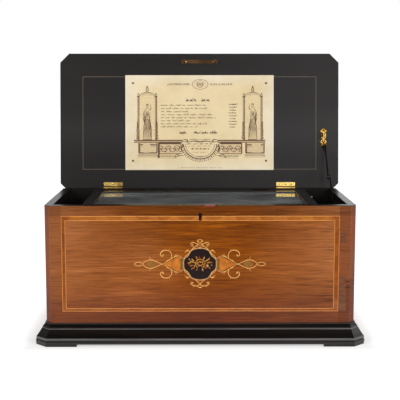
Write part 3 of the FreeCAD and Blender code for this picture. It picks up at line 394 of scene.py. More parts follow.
BOX = inlay("boxwood_line", lin(206, 144, 74), darker_low_and_ends=(0.80, 0.68, 0.62))
SCROLL = inlay("sycamore_inlay", lin(218, 164, 92), var=0.16)
BANDS = [inlay("banding_%d" % k, lin(*c), var=0.26, scale=170, stretch=(0.35, 1.0, 2.4), rot=(0, r, 0), darker_low_and_ends=(0.60, 0.45, 0.40)) for k, (c, r) in enumerate((((161, 93, 34), 0.7), ((153, 87, 30), -0.7), ((167, 99, 37), 0.5), ((148, 83, 28), -0.5)))]
AMBER = inlay("satinwood_inlay", lin(176, 102, 34), var=0.3, scale=140)
GREEN = inlay("stained_leaf_inlay", lin(134, 90, 38), var=0.3, scale=300)
DARKIN = inlay("dark_inlay", lin(112, 78, 28), var=0.3)
MEDAL = inlay("ebony_medallion", lin(25, 13, 13), var=0.25, rough=0.34)
GOLDL = inlay("gold_leaf_inlay", lin(176, 122, 40), var=0.35)
REDIN = inlay("red_inlay", lin(150, 34, 22), var=0.3)
WHITEIN = inlay("white_inlay", lin(186, 160, 110), var=0.2)
GREYIN = inlay("frame_line_inlay", lin(190, 146, 106), var=0.15)
LIDLINE = inlay("lid_line", lin(104, 92, 82), var=0.15, rough=0.4)


def metal(name, base, rough=0.25, var=0.12, aniso=0.0, patina=None, bump=0.03, scale=120):
    g = G(name)
    n = g.noise(g.mapping(scale=(scale, scale, scale)), 1.0, 5.0, 0.6)
    w = g.noise(g.mapping(scale=(28, 28, 28)), 1.0, 3.0, 0.6)
    c = g.ramp(n, [(0.3, tuple(x * (1 - var) for x in base)), (0.7, tuple(min(1, x * (1 + var)) for x in base))])
    if patina:
        c = g.mix(g.ramp(w, [(0.46, 0.0), (0.70, 0.7)]), c, patina)
    g.set(Base_Color=c, Roughness=g.math("MULTIPLY_ADD", w, 0.2, rough - 0.1))
    g.b.inputs["Metallic"].default_value = 1.0
    if aniso:
        g.b.inputs["Anisotropic"].default_value = aniso
    g.bump(n, bump, 0.0003)
    return g.m


BRASS = metal("old_brass", lin(240, 206, 122), 0.24, patina=lin(118, 84, 34), scale=150)
BRASS_W = metal("worn_brass", lin(96, 71, 50), 0.5, patina=lin(56, 40, 28), bump=0.1, scale=240)
BRASS_D = metal("bracket_brass", lin(178, 138, 66), 0.34, patina=lin(96, 70, 34), bump=0.08, scale=240)
BRASS_G = metal("bracket_ground", lin(70, 52, 26), 0.5, patina=lin(34, 25, 15), bump=0.12, scale=240)
BRASS_R = metal("bracket_relief", lin(232, 184, 92), 0.28, patina=lin(140, 100, 40), bump=0.06, scale=240)
BRASS_CYL = metal("cylinder_brass", lin(224, 188, 104), 0.2, patina=lin(170, 130, 60))
BRONZE = metal("bronzed_casting", lin(150, 118, 62), 0.42, patina=lin(88, 64, 34), bump=0.12, scale=260)
STEEL = metal("polished_steel", lin(190, 190, 188), 0.22, patina=lin(120, 116, 112))
JAPAN = metal("japanned_hinge", lin(34, 31, 30), 0.5, patina=lin(52, 44, 34), bump=0.08, scale=240)
DARKST = metal("dark_steel", lin(70, 68, 68), 0.34, patina=lin(48, 44, 42))
BLUED = metal("blued_steel", lin(54, 60, 84), 0.25)
TACKM = metal("tack_brass", lin(120, 90, 44), 0.35)

g = G("window_glass")
g.set(Base_Color=(0.90, 0.97, 1.0, 1.0), Roughness=0.0)
dust = g.noise(g.mapping(scale=(5, 9, 1)), 1.0, 4.0, 0.6, 0.6)
g.set(Transmission_Weight=g.ramp(dust, [(0.38, 0.94), (0.62, 0.80)]))
g.b.inputs["IOR"].default_value = 1.5
n = g.noise(g.mapping(scale=(6, 6, 6)), 1.0, 1.0, 0.4)
g.bump(n, 0.02, 0.0006)
GLASS = g.m

g = G("tune_card")
w = g.noise(g.mapping(scale=(14, 14, 14)), 1.0, 4.0, 0.6)
f = g.noise(g.mapping(scale=(700, 700, 700)), 1.0, 3.0, 0.6)
X, Yo, Z = g.xyz()
sl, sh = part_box("tune_sheet")
cz = (sl.z + sh.z) / 2
ex_ = g.math("DIVIDE", g.math("ABSOLUTE", X), sh.x)
ez_ = g.math("DIVIDE", g.math("ABSOLUTE", g.math("SUBTRACT", Z, cz)), (sh.z - sl.z) / 2)
edge = g.math("MAXIMUM", ex_, ez_)
em = g.ramp(edge, [(0.72, 0.0), (0.99, 1.0)])
paper = g.mix(em, lin(230, 210, 168), lin(229, 218, 194))
paper = g.mix(g.math("MULTIPLY", g.ramp(w, [(0.42, 0.0), (0.72, 1.0)]), 0.5), paper, lin(206, 182, 132))
paper = g.mix(0.12, paper, g.ramp(f, [(0.3, 0.6), (0.7, 1.0)]), "MULTIPLY")
g.set(Base_Color=paper, Roughness=0.72)
g.bump(f, 0.12, 0.0002)
PAPER = g.m


def ink(name, col):
    g = G(name)
    f = g.noise(g.mapping(scale=(900, 900, 900)), 1.0, 3.0, 0.6)
    g.set(Base_Color=g.mix(g.ramp(f, [(0.35, 0.0), (0.65, 1.0)]), tuple(c * 0.8 for c in col), tuple(min(1, c * 1.25) for c in col)), Roughness=0.7)
    return g.m


INK = ink("brown_ink", lin(112, 82, 56))
INK_L = ink("pale_ink", lin(152, 122, 84))
INK_W = ink("wash_ink", lin(206, 182, 142))
INK_D = ink("dark_ink", lin(84, 56, 38))

g = G("red_silk")
wv = g.noise(g.mapping(scale=(60, 2200, 60)), 1.0, 2.0, 0.5)
wv2 = g.noise(g.mapping(scale=(2200, 60, 60)), 1.0, 2.0, 0.5)
g.set(Base_Color=g.mix(wv, lin(92, 6, 10), lin(150, 18, 24)), Roughness=0.5)
g.b.inputs["Sheen Weight"].default_value = 0.15
g.bump(g.math("ADD", wv, wv2), 0.25, 0.0003)
SILK = g.m

g = G("worn_leather_black")
f = g.noise(g.mapping(scale=(400, 400, 400)), 1.0, 3.0, 0.6)
g.set(Base_Color=g.mix(f, lin(20, 14, 12), lin(46, 34, 28)), Roughness=0.6)
g.bump(f, 0.2, 0.0003)
HANDLE = g.m


# ------------------------------------------------------------------ CAD nodes: bevelled copies or better materials
def refine(node, width, mat, body, segs=3, keep=None, smooth_angle=35):
    """The CAD piece with its sharp edges eased, standing for the plain one."""
    src = nodes[node]
    bm = bmesh.new()
    bm.from_mesh(src.data)
    bmesh.ops.remove_doubles(bm, verts=bm.verts, dist=2e-6)
    bmesh.ops.dissolve_limit(bm, angle_limit=math.radians(0.6), verts=bm.verts, edges=bm.edges)
    ed = []
    for e in bm.edges:
        if len(e.link_faces) == 2 and e.calc_face_angle(0) > math.radians(28):
            mid = (e.verts[0].co + e.verts[1].co) / 2 * 1000
            if keep is None or keep(mid, e):
                ed.append(e)
    if width > 0 and ed:
        bmesh.ops.bevel(bm, geom=ed, offset=width / 1000.0, offset_type="OFFSET", segments=segs, profile=0.5, affect="EDGES", clamp_overlap=True)
    me = bpy.data.meshes.new(node + "_eased")
    bm.to_mesh(me)
    bm.free()
    o = link(me, node + "_eased", body, mat)
    me.shade_smooth()
    md = o.modifiers.new("wn", "WEIGHTED_NORMAL")
    md.keep_sharp = True
    for e in me.edges:
        pass
    me.set_sharp_from_angle(angle=math.radians(smooth_angle))
    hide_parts(node)
    return o


def paint(node, mat):
    o = nodes[node]
    if not o.data.materials:
        o.data.materials.append(mat)
    for s in o.material_slots:
        s.material = mat


top_or_corner = lambda m, e: m.z > TOP - 1 or (m.y < FY + 12 and abs(m.x) > HW - 12 and abs(e.verts[0].co.z - e.verts[1].co.z) > 0.05 and m.y < FY + 14)
refine("front_wall", 0.5, VENEER, "case", keep=lambda m, e: (m.z > TOP - 1 and (m.y < FY + 1 or m.y > FY + 14)) or (m.y < FY + 12 and abs(m.x) > HW - 12 and abs(e.verts[0].co.z - e.verts[1].co.z) > 0.05 and m.y < FY + 11))
refine("back_wall", 0.5, BACKV, "case", keep=lambda m, e: (m.z > TOP - 1 and m.y > FY + DEP - 1) or (m.y > FY + DEP - 11 and abs(m.x) > HW - 12 and abs(e.verts[0].co.z - e.verts[1].co.z) > 0.05))
refine("left_wall", 0.5, ENDV, "case", keep=lambda m, e: m.z > TOP - 1 and abs(e.verts[0].co.y - e.verts[1].co.y) > 0.05)
refine("right_wall", 0.5, ENDV, "case", keep=lambda m, e: m.z > TOP - 1 and abs(e.verts[0].co.y - e.verts[1].co.y) > 0.05)
refine("main_lid", 1.1, LIDW, "main_lid", keep=lambda m, e: e.calc_length() > 0.012)
for nd in ("plinth_rails", "plinth_sides", "plinth_corners", "corner_feet"):
    paint(nd, EBONY_PL)
for nd in ("partition_left", "partition_right"):
    paint(nd, EBONY_IN)
for nd in ("glass_rail_front", "glass_rail_back", "glass_stiles"):
    refine(nd, 0.35, EBONY, "glass_lid")
refine("hinge_rail", 0.35, EBONY, "case")
for nd in ("bottom_board", "bed_bearers"):
    paint(nd, PINE)
for nd in ("lock_cap", "lid_hinge_pins", "stay_wall_stud", "control_studs"):
    paint(nd, BRASS)
refine("lock_link_plate", 0.25, BRASS_W, "main_lid")
refine("lid_hinge_leaves", 0.2, BRASS, "main_lid")
refine("case_hinge_leaves", 0.2, BRASS, "case")
refine("stay_bracket", 0.35, BRASS_G, "main_lid")
refine("glass_case_hinges", 0.12, JAPAN, "case")
refine("glass_lid_leaves", 0.12, JAPAN, "glass_lid")
refine("stay_upper_link", 0.4, DARKST, "stay_upper")
refine("stay_lower_link", 0.4, DARKST, "stay_lower")
refine("lock_case", 0.3, DARKST, "case")
paint("lock_bolt", STEEL)
paint("glass_pane", GLASS)
refine("bedplate", 0.8, BRONZE, "case")
refine("comb_base", 0.8, BRONZE, "case")
for nd in ("barrel_bridge", "centre_bridge", "end_bridge"):
    refine(nd, 0.6, BRASS, "case")
refine("governor_frame", 0.4, BRASS, "case")
refine("winding_lever", 0.5, STEEL, "winding_lever")
for nd, m in (("winding_arbor", STEEL), ("ratchet_wheel", STEEL), ("ratchet_click", BLUED), ("great_wheel", BRASS), ("cylinder_arbor", STEEL),
              ("cylinder_wheel", BRASS), ("governor_arbor", STEEL), ("governor_wheel", BRASS), ("fly_spindle", STEEL), ("mainspring", BLUED), ("comb", STEEL)):
    paint(nd, m)
refine("start_lever", 0.35, STEEL, "start_lever")
refine("change_lever", 0.35, STEEL, "change_lever")


# ------------------------------------------------------------------ flat inlays as thin ribbons and plates
def ribbon_bm(bm, surf, pts, wid, h=0.12, closed=False, skirt=0.25, mat=0):
    """A strip of given width along a line of points on a surface, its top h proud."""
    n = len(pts)
    L, R = [], []
    for i in range(n):
        if closed:
            a, b = pts[(i - 1) % n], pts[(i + 1) % n]
        else:
            a, b = pts[max(i - 1, 0)], pts[min(i + 1, n - 1)]
        dx, dy = b[0] - a[0], b[1] - a[1]
        k = math.hypot(dx, dy) or 1.0
        w = (wid[i] if isinstance(wid, (list, tuple)) else wid) / 2
        nx, ny = -dy / k * w, dx / k * w
        L.append((pts[i][0] + nx, pts[i][1] + ny))
        R.append((pts[i][0] - nx, pts[i][1] - ny))
    vs = []
    for i in range(n):
        vs.append([bm.verts.new(surf(*L[i], h - skirt)), bm.verts.new(surf(*L[i], h)), bm.verts.new(surf(*R[i], h)), bm.verts.new(surf(*R[i], h - skirt))])
    m = n if closed else n - 1
    for i in range(m):
        a, b = vs[i], vs[(i + 1) % n]
        for k in range(3):
            f = bm.faces.new((a[k], b[k], b[k + 1], a[k + 1]))
            f.material_index = mat
    if not closed:
        for a in (vs[0], vs[-1]):
            f = bm.faces.new(a)
            f.material_index = mat


def plate_bm(bm, surf, pts, h=0.1, skirt=0.25, mat=0):
    """A filled flat shape, its top h proud."""
    t = [bm.verts.new(surf(u, v, h)) for u, v in pts]
    b = [bm.verts.new(surf(u, v, h - skirt)) for u, v in pts]
    f = bm.faces.new(t)
    f.material_index = mat
    n = len(pts)
    for i in range(n):
        f = bm.faces.new((t[i], b[i], b[(i + 1) % n], t[(i + 1) % n]))
        f.material_index = mat


def finish_bm(bm, name, body, mats):
    bmesh.ops.recalc_face_normals(bm, faces=bm.faces)
    me = bpy.data.meshes.new(name)
    bm.to_mesh(me)
    bm.free()
    return link(me, name, body, mats)


def smooth(pts, per=6, closed=False):
    """Catmull-Rom line through the points."""
    out = []
    n = len(pts)
    segs = n if closed else n - 1
    for i in range(segs):
        if closed:
            p0, p1, p2, p3 = pts[(i - 1) % n], pts[i], pts[(i + 1) % n], pts[(i + 2) % n]
        else:
            p0, p1, p2, p3 = pts[max(i - 1, 0)], pts[i], pts[i + 1], pts[min(i + 2, n - 1)]
        for k in range(per):
            t = k / per
            out.append(tuple(0.5 * ((2 * p1[j]) + (-p0[j] + p2[j]) * t + (2 * p0[j] - 5 * p1[j] + 4 * p2[j] - p3[j]) * t * t
                                    + (-p0[j] + 3 * p1[j] - 3 * p2[j] + p3[j]) * t ** 3) for j in (0, 1)))
    if not closed:
        out.append(tuple(pts[-1]))
    return out


def taper(n, w0, w1, w2):
    return [w0 + (w1 - w0) * (i / (n - 1) * 2) if i < (n - 1) / 2 else w1 + (w2 - w1) * ((i / (n - 1)) * 2 - 1) for i in range(n)]


def rect_line(bm, surf, x0, y0, x1, y1, w, h=0.12, mat=0):
    """Mitred rectangular line: outer edge on the given rectangle, w wide inwards."""
    o = [(x0, y0), (x1, y0), (x1, y1), (x0, y1)]
    i = [(x0 + w, y0 + w), (x1 - w, y0 + w), (x1 - w, y1 - w), (x0 + w, y1 - w)]
    for k in range(4):
        a, b = k, (k + 1) % 4
        plate_bm(bm, surf, [o[a], o[b], i[b], i[a]], h, 0.25, mat)


# --- bandings of the case: two light lines with a band of short cross-cut pieces between them
def banding(surf, name, body, x0, z0, x1, z1, wd=(9.2, 9.2, 9.2, 9.2), seed=1, gap=None):
    """wd is the full width on the bottom, right, top and left; gap is a stretch of the top that stays open."""
    rnd = random.Random(seed)
    bm = bmesh.new()
    lw = 1.0
    wb, wr, wt, wl = wd

    def frame_at(o):
        return [(x0 + o * wl, z0 + o * wb), (x1 - o * wr, z0 + o * wb), (x1 - o * wr, z1 - o * wt), (x0 + o * wl, z1 - o * wt)]

    def ring(oa, ob, h, mat):
        """Four mitred strips between two frames given as insets per side."""
        a, b = oa, ob
        for k in range(4):
            if k == 2 and gap:
                za, zb_ = a[2][1], b[2][1]
                plate_bm(bm, surf, [a[2], (gap[1], za), (gap[1], zb_), b[2]], h, 0.25, mat)
                plate_bm(bm, surf, [(gap[0], za), a[3], b[3], (gap[0], zb_)], h, 0.25, mat)
                continue
            plate_bm(bm, surf, [a[k], a[(k + 1) % 4], b[(k + 1) % 4], b[k]], h, 0.25, mat)

    def inset(d, rest=0.0):
        q = (wl, wb, wr, wt)
        l, b_, r, t = [d if not rest else w - d for w in q]
        return [(x0 + l, z0 + b_), (x1 - r, z0 + b_), (x1 - r, z1 - t), (x0 + l, z1 - t)]

    o0, o1, i1, i0 = inset(0), inset(lw), inset(lw, 1), inset(0, 1)
    ring(o0, o1, 0.14, 0)
    ring(i1, i0, 0.14, 0)
    for k in range(4):
        a, b, c, d = o1[k], o1[(k + 1) % 4], i1[(k + 1) % 4], i1[k]
        L = math.hypot(b[0] - a[0], b[1] - a[1])
        ts = [0.0]
        while ts[-1] < 1:
            ts.append(ts[-1] + rnd.uniform(17, 30) / L)
        ts[-1] = 1.0
        if len(ts) > 2 and ts[-1] - ts[-2] < 0.3 * 17 / L:
            ts.pop(-2)
        sl = 3.2 / L
        cuts = set()
        if k == 2 and gap:
            ta, tb = (a[0] - gap[1]) / L, (a[0] - gap[0]) / L
            ts = [t for t in ts if not ta - 9 / L < t < tb + 9 / L] + [ta, tb]
            ts.sort()
            cuts = {ta, tb}
        for q in range(len(ts) - 1):
            t0, t1 = ts[q], ts[q + 1]
            if t0 in cuts and t1 in cuts:
                continue
            s0 = 0 if q == 0 or t0 in cuts else (sl if q % 2 else -sl)
            s1 = 0 if q == len(ts) - 2 or t1 in cuts else (sl if (q + 1) % 2 else -sl)
            P = lambda u, v, t: (u[0] + (v[0] - u[0]) * t, u[1] + (v[1] - u[1]) * t)
            plate_bm(bm, surf, [P(a, b, t0 - s0), P(a, b, t1 - s1), P(d, c, t1 + s1), P(d, c, t0 + s0)], 0.10, 0.25, 1 + (q % 2) + 2 * rnd.randint(0, 1))
    return finish_bm(bm, name, body, [BOX] + BANDS)


banding(on_front, "front_banding", "case", -249.2, 60.8, 249.9, 235.6, (5.9, 9.4, 8.8, 7.2), gap=(-2.0, 2.0))
banding(on_left, "left_banding", "case", 29.4 - DEP / 2, 60.8, DEP / 2 - 29.4, 235.6, (6.5, 8.6, 8.6, 8.6), seed=2)
banding(on_right, "right_banding", "case", 29.4 - DEP / 2, 60.8, DEP / 2 - 29.4, 235.6, (6.5, 8.6, 8.6, 8.6), seed=3)
banding(on_lid_out, "lid_banding", "main_lid", -258.0, 14.0, 258.0, 249.0, seed=4)

# small let-in repair strips in the right margin
bm = bmesh.new()
for x0, x1, z0, z1, m_ in ((251.2, 263.5, 62.0, 79.5, 0), (251.2, 263.5, 80.2, 98.0, 1), (251.2, 263.5, 79.5, 80.2, 2), (251.2, 262.5, 98.0, 128.0, 0), (252.0, 262.0, 186.0, 206.0, 0)):
    plate_bm(bm, on_front, [(x0, z0), (x1, z0), (x1, z1), (x0, z1)], 0.05, 0.2, m_)
finish_bm(bm, "repair_strips", "case", [inlay("repair_a", lin(100, 60, 38), var=0.35, scale=90, stretch=(1.2, 1, 4)), inlay("repair_b", lin(96, 56, 34), var=0.4, scale=90, stretch=(1.0, 1, 5)), inlay("repair_joint", lin(40, 22, 12))])

# keyhole lined with blackened metal and closed just behind the face by a near-black sheet of painted shade
KX, KZ = 0.0, 237.4


def keyhole(g_):
    """Outline of the keyhole grown by g_ mm, anticlockwise."""
    r, hw_, zb = 2.62 + g_, 1.52 + g_, 229.6 - g_ - KZ
    a0 = math.acos(min(1.0, hw_ / r))
    pts = [(KX + r * math.cos(-a0 + (math.pi + 2 * a0) * k / 20), KZ + r * math.sin(-a0 + (math.pi + 2 * a0) * k / 20)) for k in range(21)]
    return pts + [(KX - hw_ * 1.0, KZ + zb), (KX + hw_ * 1.0, KZ + zb)]


bm = bmesh.new()
ka, kb = keyhole(1.35), keyhole(0.05)
va = [bm.verts.new(on_front(u, v, -0.2)) for u, v in ka]
vb = [bm.verts.new(on_front(u, v, 0.28)) for u, v in keyhole(1.15)]
vc = [bm.verts.new(on_front(u, v, 0.28)) for u, v in keyhole(0.25)]
vd = [bm.verts.new(on_front(u, v, -2.5)) for u, v in kb]
for A_, B_ in ((va, vb), (vb, vc), (vc, vd)):
    for k in range(len(A_)):
        bm.faces.new((A_[k], A_[(k + 1) % len(A_)], B_[(k + 1) % len(A_)], B_[k]))
# painted shade: a near-black sheet standing in for the dark inside of the keyhole
vk = [bm.verts.new(on_front(u, v, -0.35)) for u, v in keyhole(0.12)]
f = bm.faces.new(vk)
f.material_index = 1
finish_bm(bm, "keyhole_lining", "case", [metal("blackened_keyhole", lin(22, 16, 12), 0.5), inlay("keyhole_shade_sheet", lin(6, 4, 4), var=0.2, rough=0.8, coat=0.0)])

# --- marquetry in the middle of the front, drawn in small units about its centre
MU, MV, MZ = 0.1614, 0.1628, (TOP + 41.7) / 2


def mq(pts, sx=1, sy=1):
    return [(-0.6 + sx * u * MU, MZ + sy * v * MV) for u, v in pts]


bm = bmesh.new()
SWF = 0.84


def stroke(pts, w0, w1, w2, mat=0, sx=1, sy=1, h=0.16, per=5):
    p = mq(smooth(pts, per), sx, sy)
    ribbon_bm(bm, on_front, p, taper(len(p), w0 * SWF, w1 * SWF, w2 * SWF), h, False, 0.3, mat)


def disc(u, v, r, mat=0, sx=1, sy=1, h=0.16, n=12, ry=None):
    plate_bm(bm, on_front, mq([(u + r * math.cos(2 * math.pi * k / n), v + (ry or r) * math.sin(2 * math.pi * k / n)) for k in range(n)], sx, sy), h, 0.3, mat)


def leaf(u, v, ln, w, ang, mat=0, sx=1, sy=1, h=0.2):
    a = math.radians(ang)
    ca, sa = math.cos(a), math.sin(a)
    pts = []
    for t, s in ((0, 0), (0.25, 0.42), (0.55, 0.5), (0.8, 0.28), (1, 0), (0.8, -0.24), (0.55, -0.42), (0.25, -0.38)):
        x, y = t * ln, s * w
        pts.append((u + x * ca - y * sa, v + x * sa + y * ca))
    plate_bm(bm, on_front, mq(pts, sx, sy), h, 0.3, mat)


for sx in (1, -1):
    p = mq(smooth([(-733, 0), (-716, 14), (-685, 21), (-656, 14), (-638, 0), (-656, -14), (-685, -21), (-716, -14)], 4, True), sx)
    ribbon_bm(bm, on_front, p, 0.95, 0.16, True, 0.3, 0)
    plate_bm(bm, on_front, mq([(-600, 0), (-580, 22), (-548, 33), (-508, 24), (-472, 2), (-508, -24), (-545, -37), (-580, -24)], sx), 0.09, 0.3, 3)
    stroke([(-548, -30), (-540, 0), (-520, 12)], 0.3, 0.6, 0.3, 4, sx, 1, 0.12)
    stroke([(-590, 4), (-540, 2), (-490, -2)], 0.3, 0.5, 0.3, 4, sx, 1, 0.12)
    for sy in (1, -1):
        stroke([(-640, 0), (-622, 20), (-590, 39), (-548, 47), (-495, 32), (-455, 14), (-408, -4)], 0.9, 1.5, 1.0, 0, sx, sy)
        stroke([(-546, 46), (-556, 62), (-566, 84)], 1.3, 0.9, 0.2, 0, sx, sy)
        stroke([(-520, 40), (-530, 52), (-536, 58)], 0.9, 0.6, 0.2, 0, sx, sy)
        stroke([(-424, -8), (-385, 18), (-352, 40), (-318, 63), (-283, 80), (-258, 88), (-238, 93)], 0.9, 1.5, 0.7, 0, sx, sy)
        stroke([(-238, 93), (-218, 84), (-198, 70), (-176, 60)], 0.7, 1.1, 0.9, 5, sx, sy)
        stroke([(-300, 72), (-278, 92), (-262, 118)], 1.4, 1.0, 0.2, 0, sx, sy)
        stroke([(-268, 86), (-258, 98), (-248, 104)], 1.0, 0.6, 0.2, 0, sx, sy)
        stroke([(-380, 22), (-366, 40), (-350, 52)], 1.2, 0.9, 0.2, 0, sx, sy)
        stroke([(-330, 54), (-317, 84), (-320, 118), (-340, 144), (-376, 157), (-412, 150), (-436, 128), (-441, 104), (-428, 90), (-410, 92), (-403, 106)], 1.0, 1.6, 1.0, 0, sx, sy)
        disc(-412, 99, 8.5, 0, sx, sy)
        stroke([(-346, 146), (-344, 160), (-338, 170)], 1.1, 0.7, 0.2, 0, sx, sy)
        stroke([(-318, 104), (-306, 92), (-300, 84)], 0.9, 0.6, 0.2, 0, sx, sy)
        # volutes beside the medallion
        stroke([(-176, 62), (-166, 86), (-148, 102), (-128, 116), (-116, 134), (-124, 152), (-144, 157), (-156, 146), (-148, 136)], 0.8, 1.3, 0.8, 0, sx, sy)
        disc(-142, 147, 6.5, 0, sx, sy)
        disc(-166, 132, 5.0, 0, sx, sy)
    plate_bm(bm, on_front, mq([(-398, 0), (-238, 84), (-214, 70), (-204, 34), (-203, -34), (-214, -70), (-238, -84)], sx), 0.08, 0.3, 2)
    plate_bm(bm, on_front, mq([(-226, 56), (-196, 62), (-186, 30), (-186, -30), (-196, -62), (-226, -56), (-214, 0)], sx), 0.10, 0.3, 4)
    stroke([(-380, 0), (-300, 4), (-236, 0)], 0.2, 0.45, 0.2, 1, sx, 1, 0.12)

# medallion with its frame line
quad = [(-180, 0), (-178, 36), (-162, 66), (-134, 88), (-116, 116), (-94, 149), (-54, 168), (0, 176)]
ring = quad + [(-u, v) for u, v in quad[-2::-1]]
ring = ring + [(u, -v) for u, v in ring[-2:0:-1]]
rs = smooth(ring, 4, True)
plate_bm(bm, on_front, mq(rs), 0.10, 0.3, 6)
ribbon_bm(bm, on_front, mq([(u * 1.028, v * 1.028) for u, v in rs]), 1.25, 0.17, True, 0.3, 5)
ribbon_bm(bm, on_front, mq([(u * 0.985, v * 0.985) for u, v in rs]), 0.35, 0.15, True, 0.3, 7)

# crests above and below
for sx in (1, -1):
    stroke([(-96, 160), (-62, 188), (-30, 214), (2, 238), (26, 256), (20, 270), (0, 275)], 1.1, 1.7, 1.0, 0, sx)
    stroke([(-8, 226), (-38, 228), (-62, 240), (-86, 243), (-101, 230), (-98, 214), (-82, 210), (-72, 222)], 0.9, 1.5, 0.9, 0, sx)
    disc(-80, 220, 6.5, 0, sx)
    stroke([(-60, 190), (-82, 196), (-104, 206)], 1.1, 0.8, 0.2, 0, sx)
    stroke([(-4, 216), (-20, 200), (-40, 196)], 0.8, 0.9, 0.2, 0, sx)
    stroke([(60, -172), (36, -190), (14, -210), (-10, -234), (-40, -247), (-76, -240), (-99, -226), (-100, -211), (-86, -204), (-74, -213)], 0.9, 1.6, 0.9, 0, sx)
    disc(-82, -213, 6.5, 0, sx)
    stroke([(-30, -246), (-20, -262), (0, -270)], 0.9, 0.8, 0.3, 0, sx)
    stroke([(-60, -243), (-70, -256), (-82, -260)], 0.8, 0.6, 0.2, 0, sx)
disc(0, 236, 9, 2)
disc(0, -262, 9, 0)
plate_bm(bm, on_front, mq([(0, 196), (14, 178), (0, 170), (-14, 178)]), 0.14, 0.3, 0)

# the spray of leaves and flowers in the medallion: own, generic design
for k in range(22):
    a = 2 * math.pi * k / 22
    if 3.9 < a < 4.9:
        continue
    leaf(2 + 48 * math.cos(a), 4 + 46 * math.sin(a), 26, 11, math.degrees(a) + 78, 7 if k % 4 else 3)
for k in range(18):
    a = 2 * math.pi * k / 18
    leaf(2 + 33 * math.cos(a), 4 + 22 * math.sin(a), 24 if k % 2 else 17, 12, math.degrees(a) + (118 if k % 2 else 62), 7 if k % 5 else 8)
disc(2, 4, 30, 4, 1, 1, 0.12, 18, 28)
disc(2, 4, 25, 6, 1, 1, 0.14, 18, 23)
disc(2, 4, 15, 6, 1, 1, 0.22, 16, 12)
for u, v, r_, m_ in ((-8, 10, 5, 7), (8, 12, 5, 9), (0, 0, 6, 8), (12, -4, 4, 7), (-12, -6, 4, 9)):
    disc(u + 2, v + 2, r_, m_, 1, 1, 0.17, 8)
for u, v, l_, w_, a_, m_ in ((-50, 12, 60, 13, 158, 7), (-60, 30, 44, 12, 140, 7), (-96, 16, 40, 12, 186, 7), (-70, -8, 46, 11, 200, 3), (-110, 40, 26, 9, 120, 7), (-56, -34, 38, 10, 215, 7),
                            (-100, -10, 34, 9, 170, 8), (54, 24, 52, 13, 36, 7), (72, 10, 48, 12, 14, 7), (96, 44, 30, 9, 66, 7), (110, 16, 30, 10, 0, 3), (40, 50, 34, 11, 74, 7), (-30, 54, 34, 11, 112, 7),
                            (-6, 62, 26, 10, 90, 8), (64, -20, 44, 12, -20, 7), (92, -34, 34, 10, -40, 3), (20, -50, 34, 10, -62, 7), (-24, -48, 34, 10, 232, 3), (-84, -40, 26, 9, 240, 7), (120, -8, 20, 8, -30, 7)):
    leaf(u, v, l_ * 1.12, w_ * 1.3, a_, m_)
for u, v, r_, m_ in ((58, -38, 13, 8), (82, -14, 11, 9), (66, -44, 6, 9), (104, -38, 9, 8), (-78, -44, 9, 8), (-62, -20, 7, 9), (46, -14, 8, 8), (100, 26, 8, 8), (-104, 26, 7, 9), (30, -58, 8, 9)):
    for k in range(5):
        a = 2 * math.pi * k / 5
        disc(u + r_ * 0.62 * math.cos(a), v + r_ * 0.62 * math.sin(a), r_ * 0.48, m_, 1, 1, 0.22, 8)
    disc(u, v, r_ * 0.3, 7, 1, 1, 0.25, 8)
finish_bm(bm, "front_marquetry", "case", [SCROLL, DARKIN, AMBER, GREEN, DARKIN, GREYIN, MEDAL, GOLDL, REDIN, WHITEIN])

# --- line inlay on the inside of the lid
bm = bmesh.new()
rect_line(bm, on_lid_in, -241, 37.2, 241, 228.8, 1.0, 0.08, 0)
finish_bm(bm, "lid_inside_line", "main_lid", [LIDLINE])

# --- line inlay on the frame of the inner lid
gl_lo, gl_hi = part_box("glass_rail_front")
gb_lo, gb_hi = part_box("glass_rail_back")
gs_lo, gs_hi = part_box("glass_stiles")
GT = gs_hi.z * 1000


def on_glassframe(u, v, h):
    return Vector((u, v, GT + h)) / 1000.0


bm = bmesh.new()
rect_line(bm, on_glassframe, gl_lo.x * 1000 - 1.6, gl_hi.y * 1000 - 1.6, gl_hi.x * 1000 + 1.6, gb_lo.y * 1000 + 1.6, 0.8, 0.06, 0)
finish_bm(bm, "inner_lid_line", "glass_lid", [inlay("inner_lid_line", lin(120, 92, 62), var=0.15)])

# ------------------------------------------------------------------ tune card
TU = 0.2044
SW, S0, S1 = 153.0, 36.2, 231.5


def ph(u, s):
    e = max(abs(u) / SW, 0.0) ** 8 * 0.35 + (abs(s - (S0 + S1) / 2) / ((S1 - S0) / 2)) ** 10 * 0.35
    return e + 0.02 * math.sin(u * 0.045 + 1.0) * math.sin(s * 0.06)


def on_card(u, s, h):
    return on_lid_in(u, s, 0.42 + ph(u, s) + h)


bm = bmesh.new()
NX, NY = 72, 48
grid = [[bm.verts.new(on_card(-SW + 2 * SW * i / NX, S0 + (S1 - S0) * j / NY, 0)) for i in range(NX + 1)] for j in range(NY + 1)]
back = [[bm.verts.new(on_card(-SW + 2 * SW * i / NX, S0 + (S1 - S0) * j / NY, -0.35)) for i in range(NX + 1)] for j in range(NY + 1)]
for j in range(NY):
    for i in range(NX):
        bm.faces.new((grid[j][i], grid[j][i + 1], grid[j + 1][i + 1], grid[j + 1][i]))
        bm.faces.new((back[j][i], back[j + 1][i], back[j + 1][i + 1], back[j][i + 1]))
for i in range(NX):
    bm.faces.new((grid[0][i], back[0][i], back[0][i + 1], grid[0][i + 1]))
    bm.faces.new((grid[NY][i], grid[NY][i + 1], back[NY][i + 1], back[NY][i]))
for j in range(NY):
    bm.faces.new((grid[j][0], grid[j + 1][0], back[j + 1][0], back[j][0]))
    bm.faces.new((grid[j][NX], back[j][NX], back[j + 1][NX], grid[j + 1][NX]))
card = finish_bm(bm, "tune_card", "main_lid", [PAPER])
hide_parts("tune_sheet")

bm = bmesh.new()


def T(a, b):
    return (a * TU, S1 - b * TU)


IH = 0.05


